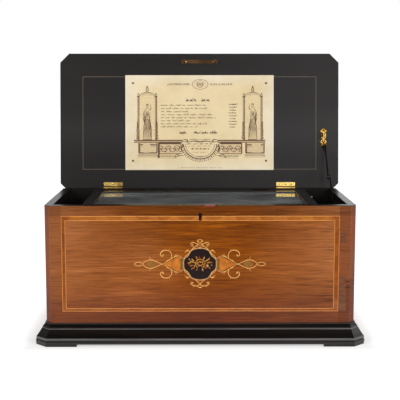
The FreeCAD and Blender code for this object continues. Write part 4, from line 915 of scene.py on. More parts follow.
def pen(pts, w=0.5, mat=0, per=4, sm=True, ends=0.35, close=False):
    q = smooth(pts, per, close) if sm and len(pts) > 2 else pts
    if not close:
        r_ = [q[0]]
        for p_, n_ in zip(q, q[1:]):
            k_ = max(1, int(math.hypot(n_[0] - p_[0], n_[1] - p_[1]) / 26))
            r_ += [(p_[0] + (n_[0] - p_[0]) * j_ / k_, p_[1] + (n_[1] - p_[1]) * j_ / k_) for j_ in range(1, k_ + 1)]
        q = r_
    q = [T(*p) for p in q]
    w *= 1.5
    if close:
        ribbon_bm(bm, on_card, q, w, IH, True, 0.05, mat)
    else:
        ribbon_bm(bm, on_card, q, taper(len(q), w * ends, w, w * ends) if len(q) > 2 and ends < 1 else w, IH, False, 0.05, mat)


def fill(pts, mat=2, h=0.03):
    plate_bm(bm, on_card, [T(*p) for p in pts], h, 0.03, mat)


def dot(a, b, r, mat=0, n=8):
    plate_bm(bm, on_card, [T(a + r * math.cos(2 * math.pi * k / n), b + r * math.sin(2 * math.pi * k / n)) for k in range(n)], IH, 0.04, mat)


def scribble(x0, x1, y, amp, w=0.42, mat=0, words=(30, 70), slant=0.35, rnd=random.Random(3)):
    """A line of flowing strokes that spells nothing."""
    x = x0
    while x < x1 - 8:
        ln = min(rnd.uniform(*words), x1 - x)
        pts = []
        t = 0
        up = True
        while t < ln:
            a = amp * rnd.uniform(0.45, 1.0) * (1.9 if rnd.random() < 0.16 else 1.0)
            yy = y + (-a * 0.75 if up else a * 0.35)
            pts.append((x + t + (slant * a if up else 0), yy))
            t += rnd.uniform(3.2, 5.6)
            up = not up
        if len(pts) > 2:
            pen(pts, w, mat, 3, True, 0.6)
        x += ln + rnd.uniform(7, 12)


R = random.Random(11)
# round wreath emblem and ornamental hatching on both sides of it (a = units right of the centre line)
for k in range(26):
    a = 2 * math.pi * k / 26
    cx, cy = 6 + 76 * math.cos(a), 92 + 46 * math.sin(a)
    pen([(cx - 7 * math.sin(a), cy + 5 * math.cos(a)), (cx + 5 * math.cos(a), cy + 5 * math.sin(a)), (cx + 9 * math.sin(a), cy - 7 * math.cos(a))], 0.8, 3 if k % 2 else 0, 3)
pen([(6 + 58 * math.cos(2 * math.pi * k / 20), 92 + 34 * math.sin(2 * math.pi * k / 20)) for k in range(20)], 0.35, 1, 2, True, 1, True)
for sx in (-1, 1):
    pen([(6 + sx * 3, 120), (6 + sx * 20, 108), (6 + sx * 32, 92), (6 + sx * 26, 76), (6 + sx * 8, 70)], 0.8, 3)
    pen([(6, 96), (6 + sx * 14, 84), (6 + sx * 22, 98), (6 + sx * 8, 106)], 0.6, 0)
dot(6, 92, 7, 3)
fill([(-30, 74), (42, 74), (46, 94), (36, 114), (6, 122), (-26, 114), (-34, 94)], 2)
pen([(6, 44), (0, 52), (6, 58), (12, 52), (6, 44)], 0.6, 0)
for sx in (-1, 1):
    x = 100
    while x < 325:
        hgt = R.uniform(9, 15)
        k = R.choice((0, 1, 2, 3))
        cx = 6 + sx * (x + 5)
        # a frieze of upright leaves and beads
        if k < 3:
            pen([(cx, 102), (cx - 4.5, 92), (cx, 92 - hgt), (cx + 4.5, 92), (cx, 102)], 0.55, 0 if k else 1, 2)
            pen([(cx, 100), (cx, 94 - hgt * 0.6)], 0.45, 1, 1, False, 1)
        else:
            dot(cx, 93, 4, 0)
            pen([(cx - 5, 102), (cx + 5, 102)], 0.45, 1, 1, False, 1)
        x += R.uniform(13, 17)
# heading and lines of flowing strokes
for x0, x1 in ((-140, -36), (16, 118)):
    scribble(x0, x1, 258, 25, 0.62, 3, (30, 52), 0.3, R)
ys = (305, 337, 370, 400, 430, 461, 492, 522)
xe = (60, 74, -110, 126, 164, -96, 76, -20)
for y, e in zip(ys, xe):
    scribble(-392, e, y, 13, 0.40, 0, (30, 84), 0.35, R)
for k in range(9):
    y = 297 + k * 28.5
    pen([(294 + (k % 3) * 6, y + 6), (300 + (k % 3) * 6, y - 8), (308 + (k % 3) * 6, y + 4)], 0.75, 3)
    scribble(308 + (k % 3) * 6, 384 - (k * 7) % 19, y, 12, 0.5, 3, (50, 80), 0.3, R)
scribble(-205, -125, 584, 21, 0.62, 3, (60, 80), 0.3, R)
scribble(-62, 178, 584, 21, 0.62, 3, (60, 96), 0.3, R)
x = -212
while x < 228:
    pen([(x, 928), (x + R.uniform(2, 5), 938)], 0.5, 1, 1, False, 1)
    x += R.uniform(7, 12) if R.random() > 0.1 else 22


def urnfigure(cx, sy0, sy1, wd, flip):
    """A generic draped statue, blank oval head, in a few engraved strokes."""
    H = sy1 - sy0
    fill([(cx - wd * 0.30, sy0 + H * 0.20), (cx - wd * 0.10, sy0 + H * 0.13), (cx + wd * 0.12, sy0 + H * 0.13), (cx + wd * 0.34, sy0 + H * 0.22), (cx + wd * 0.40, sy0 + H * 0.50),
          (cx + wd * 0.46, sy1), (cx - wd * 0.46, sy1), (cx - wd * 0.36, sy0 + H * 0.55)], 2)
    pen([(cx + 9 * math.cos(t), sy0 + 14 + 13 * math.sin(t)) for t in [2 * math.pi * k / 10 for k in range(10)]], 0.6, 0, 2, True, 1, True)
    pen([(cx - 10, sy0 + 10), (cx - 6, sy0 - 2), (cx + 6, sy0 - 2), (cx + 11, sy0 + 10)], 1.1, 3)
    f = flip
    pen([(cx - f * 4, sy0 + 30), (cx - f * wd * 0.30, sy0 + H * 0.17), (cx - f * wd * 0.42, sy0 + H * 0.30), (cx - f * wd * 0.20, sy0 + H * 0.38), (cx + f * wd * 0.1, sy0 + H * 0.36)], 1.0, 0)
    pen([(cx + f * 4, sy0 + 30), (cx + f * wd * 0.32, sy0 + H * 0.16), (cx + f * wd * 0.40, sy0 + H * 0.08), (cx + f * wd * 0.30, sy0 - 6)], 0.9, 0)
    pen([(cx - wd * 0.28, sy0 + H * 0.22), (cx - wd * 0.20, sy0 + H * 0.40), (cx - wd * 0.40, sy0 + H * 0.66), (cx - wd * 0.44, sy1)], 1.0, 0)
    pen([(cx + wd * 0.30, sy0 + H * 0.22), (cx + wd * 0.26, sy0 + H * 0.42), (cx + wd * 0.42, sy0 + H * 0.68), (cx + wd * 0.46, sy1)], 1.2, 3)
    for k in range(7):
        o = (-0.30 + 0.10 * k) * wd
        pen([(cx + o * 0.6, sy0 + H * (0.40 + 0.02 * (k % 3))), (cx + o * 0.9 + f * 5, sy0 + H * 0.58), (cx + o * 1.1 - f * 2, sy0 + H * 0.78), (cx + o * 1.25, sy1 - 4)], 0.75, 0 if k % 2 else 3)
    for k in range(6):
        pen([(cx - wd * 0.22 + k * wd * 0.08, sy0 + H * 0.18), (cx - wd * 0.10 + k * wd * 0.05, sy0 + H * 0.28), (cx - wd * 0.16 + k * wd * 0.07, sy0 + H * 0.37)], 0.55, 0)
    pen([(cx - wd * 0.24, sy0 + H * 0.40), (cx, sy0 + H * 0.425), (cx + wd * 0.26, sy0 + H * 0.40)], 1.0, 3)
    pen([(cx - wd * 0.5, sy1 + 2), (cx + wd * 0.5, sy1 + 2)], 1.2, 0, 1, False, 1)
    # shaded side of the drapery and folds over the arm
    for k in range(9):
        t_ = 0.44 + 0.055 * k
        pen([(cx + f * wd * (0.10 + 0.03 * k), sy0 + H * t_), (cx + f * wd * (0.24 + 0.02 * k), sy0 + H * (t_ + 0.05))], 0.75, 3, 1, False, 0.6)
    for k in range(4):
        pen([(cx - f * wd * (0.30 - 0.05 * k), sy0 + H * (0.26 + 0.03 * k)), (cx - f * wd * (0.42 - 0.04 * k), sy0 + H * (0.40 + 0.03 * k)), (cx - f * wd * (0.34 - 0.04 * k), sy0 + H * (0.52 + 0.03 * k))], 0.8, 3 if k % 2 else 0)


def niche(cl, cr, top, figx, figtop, flip):
    mid = (cl + cr) / 2
    fill([(cl + 8, 200), (mid, 168), (cr - 8, 200), (cr - 8, 655), (cl + 8, 655)], 4, 0.02)
    for c in (cl, cr):
        for o, w in ((-7, 0.5), (-2, 0.35), (4, 0.8), (8, 0.5)):
            pen([(c + o, 214), (c + o, 655)], w, 0 if w > 0.4 else 1, 1, False, 1)
        pen([(c - 13, 212), (c + 13, 212)], 1.3, 3, 1, False, 1)
        pen([(c - 11, 220), (c + 11, 220)], 0.6, 0, 1, False, 1)
        pen([(c - 8, 206), (c - 4, 192), (c, 182), (c + 5, 193), (c + 8, 206)], 1.0, 3)
        dot(c, 186, 5, 0)
        pen([(c - 13, 640), (c + 13, 640)], 0.8, 0, 1, False, 1)
        for k in range(13):
            yy = 236 + k * 31
            pen([(c - 7, yy), (c + 8, yy + 7)], 0.4, 1, 1, False, 1)
        for k in range(34):
            yy, an = 228 + k * 12 + R.uniform(-4, 4), R.uniform(0, 6.28)
            lx = c + (10 if k % 2 else -10) + R.uniform(-4, 4)
            pen([(lx - 5 * math.cos(an), yy - 5 * math.sin(an)), (lx + 1.6 * math.sin(an), yy + 1.6 * math.cos(an)), (lx + 5 * math.cos(an), yy + 5 * math.sin(an))], 0.55, 1 if k % 3 else 0, 2)
        # foliage climbing round the foot of each column
        s = -1 if c == cl else 1
        for k in range(12):
            yy = 640 - k * 15
            pen([(c - s * 4, yy + 8), (c + s * 14, yy), (c + s * (19 - k), yy - 8)], 0.9, 0 if k % 2 else 3)
            for q_ in range(3):
                lx, ly = c + s * R.uniform(-4, 26 - k * 1.4), yy + R.uniform(-8, 8)
                an = R.uniform(0, 6.28)
                pen([(lx - 5 * math.cos(an), ly - 5 * math.sin(an)), (lx + 1.5 * math.sin(an), ly + 1.5 * math.cos(an)), (lx + 5 * math.cos(an), ly + 5 * math.sin(an))], 0.6, 0 if q_ else 3, 2)
    pen([(cl + 6, 206), (cl + (mid - cl) * 0.4, 184), (mid - 22, 176), (mid, 168), (mid + 22, 176), (cr - (cr - mid) * 0.4, 184), (cr - 6, 206)], 1.2, 3)
    pen([(cl + 12, 216), (mid - 30, 192), (mid, 186), (mid + 30, 192), (cr - 12, 216)], 0.5, 0)
    for k in range(7):
        pen([(cl + 18 + k * (cr - cl - 36) / 6, 206), (cl + 22 + k * (cr - cl - 44) / 6, 194)], 0.4, 1, 1, False, 1)
    pen([(mid, 168), (mid - 12, 150), (mid, 118), (mid + 12, 150), (mid, 168)], 1.1, 3)
    dot(mid, 114, 7, 3)
    pen([(mid - 18, 152), (mid, 146), (mid + 18, 152)], 0.7, 0)
    urnfigure(figx, figtop, 648, 92, flip)


niche(-617, -439, 120, -527, 296, 1)
niche(448, 626, 120, 537, 290, -1)
# cornice
for y, w, m in ((654, 0.6, 0), (660, 1.0, 3), (672, 0.5, 1), (677, 1.0, 0)):
    pen([(-662, y), (-170, y)], w, m, 1, False, 1)
    pen([(182, y), (664, y)], w, m, 1, False, 1)
for k in range(56):
    for x in (-655 + k * 8.7, 190 + k * 8.4):
        pen([(x, 663), (x + 3, 671)], 0.4, 1, 1, False, 1)
# plinth blocks under the niches
for x0, x1 in ((-612, -430), (468, 652)):
    fill([(x0, 684), (x1, 684), (x1, 782), (x0, 782)], 2)
    plate_bm(bm, on_card, [T(*p) for p in ((x0 + 26, 722), (x1 - 30, 722), (x1 - 30, 774), (x0 + 26, 774))], 0.035, 0.03, 5)
    for a, b in (((x0, 684), (x0, 784)), ((x1, 684), (x1, 784)), ((x0, 784), (x1, 784))):
        pen([a, b], 1.6, 3, 1, False, 1)
    pen([(x0 + 10, 684), (x0 + 10, 780)], 0.9, 0, 1, False, 1)
    for k in range(13):
        xx = x0 + 12 + k * (x1 - x0 - 24) / 13
        pen([(xx, 712), (xx + 5, 694), (xx + 11, 706), (xx + 13, 696)], 0.8, 0 if k % 2 else 3)
    pen([(x0 + 12, 716), (x1 - 12, 716)], 0.5, 0, 1, False, 1)
    for k in range(20):
        pen([(x0 - 10 + k * (x1 - x0 + 20) / 20, 818), (x0 - 5 + k * (x1 - x0 + 20) / 20, 810), (x0 - 1 + k * (x1 - x0 + 20) / 20, 818)], 0.7, 0)
    pen([(x0 - 14, 800), (x1 + 8, 800)], 0.6, 0, 1, False, 1)
    pen([(x0 - 20, 826), (x1 + 12, 826)], 0.4, 1, 1, False, 1)
# long scroll panels
for x0, x1, s in ((-412, -190, -1), (210, 426, 1)):
    fill([(x0, 684), (x1, 684), (x1, 792), (x0, 792)], 2)
    pen([(x0, 684), (x1, 684)], 2.2, 3, 1, False, 1)
    pen([(x0, 694), (x1, 694)], 0.6, 0, 1, False, 1)
    pen([(x0, 792), (x1, 792)], 1.1, 0, 1, False, 1)
    for k in range(5):
        cx = x0 + 24 + k * (x1 - x0 - 48) / 4
        d = 1 if k % 2 else -1
        pen([(cx - 22, 742 + d * 28), (cx - 6, 742 + d * 30), (cx + 12, 742 + d * 12), (cx + 6, 742 - d * 6), (cx - 8, 742 - d * 2), (cx - 6, 742 + d * 10)], 1.2, 3)
        pen([(cx - 6, 742 - d * 4), (cx + 10, 742 - d * 24), (cx + 26, 742 - d * 26)], 0.9, 0)
        dot(cx - 2, 742, 5, 3)
        for j in range(4):
            a = R.uniform(0, 6.28)
            pen([(cx + 18 * math.cos(a), 742 + 24 * math.sin(a)), (cx + 25 * math.cos(a + 0.3), 742 + 34 * math.sin(a + 0.3))], 0.9, 0, 1, False, 1)
    ex0 = x0 if s < 0 else x1
    pen([(ex0, 684), (ex0, 826)], 2.2, 3, 1, False, 1) if s < 0 else pen([(ex0, 684), (ex0, 792)], 1.6, 3, 1, False, 1)
    if s < 0:
        pen([(ex0 - 14, 812), (ex0, 834), (ex0 + 14, 812)], 1.4, 3)
        pen([(ex0 + 8, 690), (ex0 + 8, 800)], 0.8, 0, 1, False, 1)
    inner = x1 if s < 0 else x0
    pen([(inner, 684), (inner + s * -1 * 22, 706), (inner + s * -1 * 4, 742), (inner + s * -1 * 24, 776), (inner, 796)], 1.6, 3)
    for k in range(7):
        xx = (x0 + 18 if s < 0 else x0 - 10) + k * 28
        pen([(xx, 826), (xx + 9, 812), (xx + 20, 822), (xx + 26, 814)], 0.9, 0 if k % 3 else 3)
    pen([(x0 + 10, 806), (x1 - 6, 806)], 0.5, 1, 1, False, 1)
    pen([(x0 + 10, 834), (x1 - 40, 836)], 0.5, 1, 1, False, 1)
    for k in range(3):
        cx = (-236 if s < 0 else 252) + k * 9 * s
        dot(cx, 822 + k * 3, 6 - k, 3)
# cartouche with a beaded rim
rim = [(6 + 168 * math.cos(t), 690 + 154 * math.sin(t)) for t in [math.radians(a) for a in range(2, 180, 8)]]
fill([(-176, 668), (188, 668)] + rim, 6, 0.025)
pen(rim, 1.5, 3, 2, True, 0.8)
pen([(6 + (u - 6) * 0.88, 690 + (v - 690) * 0.88) for u, v in rim], 0.6, 0, 2, True, 1)
for k in range(27):
    t = math.radians(4 + k * 6.6)
    dot(6 + 180 * math.cos(t), 692 + 166 * math.sin(t), 6.5 if k % 2 else 4.5, 3 if k % 2 else 0)
    pen([(6 + 190 * math.cos(t), 692 + 176 * math.sin(t)), (6 + 200 * math.cos(t + 0.05), 692 + 182 * math.sin(t + 0.05))], 1.0, 0, 1, False, 1)
pen([(-176, 664), (-120, 674), (-60, 664), (6, 672), (72, 664), (130, 674), (188, 664)], 1.6, 3)
for sx in (-1, 1):
    pen([(6 + sx * 176, 654), (6 + sx * 150, 648), (6 + sx * 124, 658), (6 + sx * 140, 672), (6 + sx * 160, 668)], 1.5, 3)
    pen([(6 + sx * 110, 652), (6 + sx * 70, 644), (6 + sx * 30, 654), (6, 648)], 1.0, 0)
    pen([(6 + sx * 178, 700), (6 + sx * 196, 726), (6 + sx * 182, 756), (6 + sx * 204, 780)], 1.6, 3)
    pen([(6 + sx * 146, 800), (6 + sx * 190, 812), (6 + sx * 232, 800), (6 + sx * 250, 812)], 1.1, 0)
scribble(-136, 148, 694, 8, 0.6, 0, (26, 60), 0.1, R)
scribble(-120, 132, 716, 8, 0.5, 1, (26, 60), 0.1, R)
scribble(-84, 96, 744, 11, 0.9, 3, (26, 40), 0.1, R)
scribble(-62, 74, 778, 7, 0.45, 1, (26, 60), 0.1, R)
pen([(-30, 812), (6, 820), (42, 812)], 0.8, 0)
finish_bm(bm, "tune_card_print", "main_lid", [INK, INK_L, INK_W, INK_D, ink("faint_wash", lin(216, 195, 152)), PAPER, ink("pale_wash", lin(220, 200, 158))])

# turned tack heads over the plain ones
bm = bmesh.new()
tl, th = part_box("sheet_tacks")
for tu, ts in ((-137.3, 55.2), (137.3, 55.2), (-137.3, 215.2), (137.3, 215.2)):
    prof = [(2.3, 0.42), (2.25, 0.75), (1.8, 1.15), (1.0, 1.4), (0.0, 1.46)]
    rings = []
    for r, h in prof:
        if r == 0:
            rings.append([bm.verts.new(on_lid_in(tu, ts, h + ph(tu, ts)))])
        else:
            rings.append([bm.verts.new(on_lid_in(tu + r * math.cos(2 * math.pi * k / 18), ts + r * math.sin(2 * math.pi * k / 18), h + ph(tu, ts))) for k in range(18)])
    for a, b in zip(rings, rings[1:]):
        for k in range(18):
            if len(b) == 1:
                bm.faces.new((a[k], a[(k + 1) % 18], b[0]))
            else:
                bm.faces.new((a[k], a[(k + 1) % 18], b[(k + 1) % 18], b[k]))
tk = finish_bm(bm, "tack_heads", "main_lid", [TACKM])
tk.data.shade_smooth()
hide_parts("sheet_tacks")


# ------------------------------------------------------------------ cast scrolls raised on the stay bracket
bm = bmesh.new()


def on_bracket(u, s_, h):
    return on_lid_in(256.0 + u, s_, 1.4 + h)


def cast(pts, w, h=0.75):
    q = smooth(pts, 5)
    ribbon_bm(bm, on_bracket, q, taper(len(q), w * 0.55, w, w * 0.6), h, False, 1.0, 0)


for cx, cy, r in ((0.0, 118.0, 2.5), (0.0, 91.5, 2.3)):
    ribbon_bm(bm, on_bracket, [(cx + r * math.cos(2 * math.pi * k / 18), cy + r * math.sin(2 * math.pi * k / 18)) for k in range(18)], 1.5, 0.8, True, 1.0, 0)
for sx in (-1, 1):
    cast([(sx * 0.4, 114.6), (sx * 2.6, 113.8), (sx * 5.1, 115.6), (sx * 4.6, 118.2), (sx * 3.6, 117.2)], 1.3)
    cast([(sx * 0.3, 112.4), (sx * 3.2, 111.4), (sx * 4.9, 108.6), (sx * 3.4, 106.2), (sx * 1.9, 107.6), (sx * 2.8, 108.8)], 1.6)
    cast([(sx * 0.3, 99.4), (sx * 2.6, 101.2), (sx * 4.1, 103.6), (sx * 2.2, 104.8), (sx * 1.4, 103.2)], 1.4)
    cast([(sx * 0.3, 98.2), (sx * 3.4, 97.4), (sx * 5.2, 94.4), (sx * 4.0, 91.6), (sx * 3.0, 93.0)], 1.5)
    cast([(sx * 0.6, 87.8), (sx * 2.4, 86.6), (sx * 4.6, 88.4)], 1.2)
cast([(0, 115.2), (0.5, 111.0), (-0.5, 105.6), (0.4, 100.6), (0, 94.4)], 1.8, 0.9)
finish_bm(bm, "bracket_scrolls", "main_lid", [BRASS_R])


# ------------------------------------------------------------------ slotted screw heads
def screw_heads(name, node, body, places, r, h, axis_pt, mat):
    """Domed slotted heads: places are (centre, outward normal, across)."""
    bm = bmesh.new()
    for c, nrm_, tan in places:
        bi = nrm_.cross(tan).normalized()
        rings = []
        for rr, hh in ((r, -0.2), (r, h * 0.35), (r * 0.86, h * 0.8), (r * 0.5, h), (0.0, h * 1.04)):
            if rr == 0:
                rings.append([bm.verts.new(c + nrm_ * hh / 1000)])
            else:
                rings.append([bm.verts.new(c + (tan * math.cos(2 * math.pi * k / 20) + bi * math.sin(2 * math.pi * k / 20)) * rr / 1000 + nrm_ * hh / 1000) for k in range(20)])
        for a, b in zip(rings, rings[1:]):
            for k in range(20):
                if len(b) == 1:
                    f = bm.faces.new((a[k], a[(k + 1) % 20], b[0]))
                else:
                    f = bm.faces.new((a[k], a[(k + 1) % 20], b[(k + 1) % 20], b[k]))
                f.smooth = True
        w, l_ = r * 0.13 / 1000, r * 0.86 / 1000
        hh = (h * 1.10) / 1000
        q = [c + tan * sx * l_ + bi * sy * w + nrm_ * (hh if abs(sx) < 1 else hh) for sx, sy in ((-1, -1), (1, -1), (1, 1), (-1, 1))]
        f = bm.faces.new([bm.verts.new(p) for p in q])
        f.material_index = 1
    bmesh.ops.recalc_face_normals(bm, faces=bm.faces)
    me = bpy.data.meshes.new(name)
    bm.to_mesh(me)
    bm.free()
    o = link(me, name, body, [mat, SLOTM])
    if node:
        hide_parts(node)
    return o


SLOTM = metal("screw_slot", lin(40, 30, 18), 0.5)
nin = (on_lid_in(0, 5, 1) - on_lid_in(0, 5, 0)).normalized()
sup = (on_lid_in(0, 6, 0) - on_lid_in(0, 5, 0)).normalized()
ex_v, ez_v = Vector((1, 0, 0)), Vector((0, 0, 1))
hx = []
for x0 in (-197.5, 158.5):
    hx += [x0 + dx for dx in (7, 19.5, 32)]
screw_heads("lid_hinge_screw_heads", "lid_hinge_screws", "main_lid",
            [(on_lid_in(x, 7.2, -0.02), nin, (ex_v * math.cos(k * 1.1) + sup * math.sin(k * 1.1)).normalized()) for k, x in enumerate(hx)], 1.9, 0.25, None, BRASS)
screw_heads("case_hinge_screw_heads", "case_hinge_screws", "case",
            [(P3(x, PIN[1] - FY - 8.2, TOP - 0.02), ez_v, Vector((math.cos(k * 1.3 + 0.4), math.sin(k * 1.3 + 0.4), 0))) for k, x in enumerate(hx)], 1.9, 0.25, None, BRASS)
screw_heads("lock_plate_screw_heads", None, "main_lid",
            [(on_lid_in(x, 259.5, -0.02), nin, (ex_v * math.cos(k * 1.7 + 0.5) + sup * math.sin(k * 1.7 + 0.5)).normalized()) for k, x in enumerate((-28.6, 29.2))], 2.0, 0.2, None, BRASS)

# ------------------------------------------------------------------ silk pull tab, laid over the front wall
rl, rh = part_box("pull_ribbon")
bm = bmesh.new()
NW, NL = 14, 36
path = [(-0.62, TOP - 2.3), (-0.60, TOP - 0.9), (-0.15, TOP + 0.12), (1.6, TOP + 0.30), (4.5, TOP + 0.22), (8.0, TOP + 0.22), (13.5, TOP + 0.20), (16.2, TOP + 0.05), (17.8, GT + 0.7), (20.0, GT + 0.18), (26.0, GT + 0.16), (31.5, GT + 0.16)]
pp = smooth(path, 8)
step = (len(pp) - 1) / NL
for layer in (0, 1):
    pass
gridr = []
for j in range(NL + 1):
    t = j * step
    i = min(int(t), len(pp) - 2)
    fr = t - i
    yy = pp[i][0] + (pp[i + 1][0] - pp[i][0]) * fr
    zz = pp[i][1] + (pp[i + 1][1] - pp[i][1]) * fr
    row = []
    for k in range(NW + 1):
        w = k / NW
        ripple = 0.05 * math.sin(w * 9 + j * 0.35) + 0.04 * math.sin(j * 0.9 + w * 4)
        row.append(bm.verts.new(P3(rl.x * 1000 + 0.3 + w * 18.4 + 0.2 * math.sin(j * 0.25), yy + 0.5 * math.sin(w * 6.0) * (1 if j < 3 else 0), zz + max(ripple, -0.02))))
    gridr.append(row)
for j in range(NL):
    for k in range(NW):
        f = bm.faces.new((gridr[j][k], gridr[j][k + 1], gridr[j + 1][k + 1], gridr[j + 1][k]))
        f.smooth = True
rb = finish_bm(bm, "pull_tab_silk", "glass_lid", [SILK])
rb.data.shade_smooth()
so = rb.modifiers.new("thickness", "SOLIDIFY")
so.thickness = 0.00016
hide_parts("pull_ribbon")

# ------------------------------------------------------------------ movement details
cl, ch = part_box("music_cylinder")
CYy, CYz, CR = (cl.y + ch.y) / 2, (cl.z + ch.z) / 2, (ch.z - cl.z) / 2
mx0, mx1 = cl.x, ch.x
bm = bmesh.new()
NS = 96


def ring_at(x, r):
    return [bm.verts.new((x, CYy + r * math.cos(2 * math.pi * k / NS), CYz + r * math.sin(2 * math.pi * k / NS))) for k in range(NS)]


prof = [(mx0 + 0.0008, 0.0038), (mx0 + 0.0006, 0.010), (mx0, 0.012), (mx0, 0.026), (mx0 + 0.0010, 0.0268), (mx0 + 0.0010, 0.0302), (mx0, 0.0308), (mx0, CR - 0.0007), (mx0 + 0.0007, CR),
        (mx0 + 0.004, CR), (mx0 + 0.0043, CR - 0.0002), (mx0 + 0.0046, CR), (mx1 - 0.0046, CR), (mx1 - 0.0043, CR - 0.0002), (mx1 - 0.004, CR), (mx1 - 0.0007, CR), (mx1, CR - 0.0007), (mx1, 0.0308),
        (mx1 - 0.0010, 0.0302), (mx1 - 0.0010, 0.0268), (mx1, 0.026), (mx1, 0.012), (mx1 - 0.0006, 0.010), (mx1 - 0.0008, 0.0038)]
rg = [ring_at(x, r) for x, r in prof]
for a, b in zip(rg, rg[1:]):
    for k in range(NS):
        f = bm.faces.new((a[k], a[(k + 1) % NS], b[(k + 1) % NS], b[k]))
        f.smooth = True
cylo = finish_bm(bm, "pinned_cylinder", "cylinder", [BRASS_CYL])
cylo.data.set_sharp_from_angle(angle=math.radians(40))
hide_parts("music_cylinder")
bm = bmesh.new()
PR = random.Random(5)
ct0, ct1, NT = -118.0, 142.0, 56
pitch = (ct1 - ct0) / NT
for i in range(NT):
    for tune in range(4):
        xx = (ct0 + pitch * (i + 0.5) + (tune - 1.5) * 0.85 - 1.2) / 1000.0
        a = PR.uniform(0, 0.5)
        while a < 2 * math.pi - 0.2:
            r0, r1, w = CR - 0.0002, CR + 0.0008, 0.00022
            ca, sa = math.cos(a), math.sin(a)
            base = []
            for dx, dt in ((-w, -w), (w, -w), (w, w), (-w, w)):
                base.append(bm.verts.new((xx + dx, CYy + r0 * ca - dt * sa, CYz + r0 * sa + dt * ca)))
            topv = []
            for dx, dt in ((-w, -w), (w, -w), (w, w), (-w, w)):
                topv.append(bm.verts.new((xx + dx * 0.6, CYy + r1 * ca - dt * 0.6 * sa, CYz + r1 * sa + dt * 0.6 * ca)))
            for k in range(4):
                bm.faces.new((base[k], base[(k + 1) % 4], topv[(k + 1) % 4], topv[k]))
            bm.faces.new(topv)
            a += PR.choice((0.16, 0.24, 0.32, 0.48, 0.8, 1.2)) * PR.uniform(0.9, 1.1)
finish_bm(bm, "cylinder_pins", "cylinder", [STEEL])

# spring barrel with turned lines
bl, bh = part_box("spring_barrel")
BY, BZ, BR = (bl.y + bh.y) / 2, (bl.z + bh.z) / 2, (bh.z - bl.z) / 2
bm = bmesh.new()


def ring_b(x, r):
    return [bm.verts.new((x, BY + r * math.cos(2 * math.pi * k / NS), BZ + r * math.sin(2 * math.pi * k / NS))) for k in range(NS)]


b0, b1 = bl.x, bh.x
prof = [(b0, 0.0051), (b0, 0.009), (b0 + 0.0006, 0.0095), (b0 + 0.0006, 0.024), (b0, 0.0245), (b0, BR - 0.0008), (b0 + 0.0008, BR), (b0 + 0.004, BR), (b0 + 0.0044, BR - 0.0004), (b0 + 0.0048, BR),
        (b1 - 0.0048, BR), (b1 - 0.0044, BR - 0.0004), (b1 - 0.004, BR), (b1 - 0.0006, BR), (b1, BR - 0.0006), (b1, 0.0051)]
rg = [ring_b(x, r) for x, r in prof]
for a, b in zip(rg, rg[1:]):
    for k in range(NS):
        f = bm.faces.new((a[k], a[(k + 1) % NS], b[(k + 1) % NS], b[k]))
        f.smooth = True
bo = finish_bm(bm, "turned_spring_barrel", "barrel", [BRASS])
bo.data.set_sharp_from_angle(angle=math.radians(40))
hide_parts("spring_barrel")

# governor worm thread
fl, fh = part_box("fly_spindle")
wx, wy = (fl.x + fh.x) / 2, (fl.y + fh.y) / 2
bm = bmesh.new()
rows = []
TN = 24
for k in range(TN * 7 + 1):
    a = 2 * math.pi * k / TN
    z = 0.1535 + 0.0026 * k / TN
    row = []
    for r, dz in ((0.00155, -0.0007), (0.0021, -0.0002), (0.0021, 0.0002), (0.00155, 0.0007)):
        row.append(bm.verts.new((wx + r * math.cos(a), wy + r * math.sin(a), z + dz)))
    rows.append(row)
for a, b in zip(rows, rows[1:]):
    for k in range(3):
        bm.faces.new((a[k], a[k + 1], b[k + 1], b[k]))
finish_bm(bm, "worm_thread", "fly", [STEEL])

# slotted heads over the movement screws
pl = []
sl_, sh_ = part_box("movement_screws")
cbl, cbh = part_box("comb")
for k in range(7):
    x = (ct0 + 8 + k * (ct1 - ct0 - 16) / 6.0) / 1000.0
    pl.append((Vector((x, (FY + 86) / 1000.0, sh_.z)), ez_v, Vector((math.cos(k * 0.9), math.sin(k * 0.9), 0))))
screw_heads("comb_screw_heads", None, "case", pl, 4.0, 0.5, None, BLUED)
bdl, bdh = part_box("bedplate")
pl = [(P3(x, y, bdh.z * 1000 + 3.0), ez_v, Vector((math.cos(x), math.sin(x), 0))) for x in (-194, 194) for y in (50, 218)]
screw_heads("bed_screw_heads", None, "case", pl, 4.8, 0.6, None, STEEL)
paint("movement_screws", STEEL)

# ------------------------------------------------------------------ floor, light, camera
fl_me = bpy.data.meshes.new("floor")
fl_me.from_pydata([(-9, -9, 0), (9, -9, 0), (9, 12, 0), (-9, 12, 0)], [], [(0, 1, 2, 3)])
floor = bpy.data.objects.new("floor", fl_me)
bpy.context.scene.collection.objects.link(floor)
g = G("studio_floor")
X, Yo, Z = g.xyz()


def step(sock, a, b, c, d):
    m = g.n("ShaderNodeMapRange", interpolation_type="SMOOTHSTEP")
    g.l(sock, m.inputs["Value"])
    for k, v in zip(("From Min", "From Max", "To Min", "To Max"), (a, b, c, d)):
        m.inputs[k].default_value = v
    return m.outputs[0]


# painted contact shadow: the floor's glow drops from 0.97 to 0.54 within 5.5 cm of the footprint; for rays other than
# camera rays it is also dimmed in front
around = g.math("MAXIMUM", g.math("SUBTRACT", g.math("ABSOLUTE", X), 0.30), g.math("SUBTRACT", g.math("ABSOLUTE", Yo), 0.172))
front = step(Yo, -0.66, -0.44, 0.0, 1.0)
g.set(Base_Color=g.mix(front, (0.10, 0.10, 0.10), (0.55, 0.55, 0.55)), Roughness=0.9)
g.b.inputs["Specular IOR Level"].default_value = 0.0
g.b.inputs["Emission Color"].default_value = (1, 1, 1, 1)
seen = g.n("ShaderNodeLightPath").outputs["Is Camera Ray"]
g.set(Emission_Strength=g.math("MULTIPLY", step(around, 0.0, 0.055, 0.54, 0.97), g.math("MAXIMUM", seen, g.math("MULTIPLY_ADD", front, 0.94, 0.06))))
fl_me.materials.append(g.m)

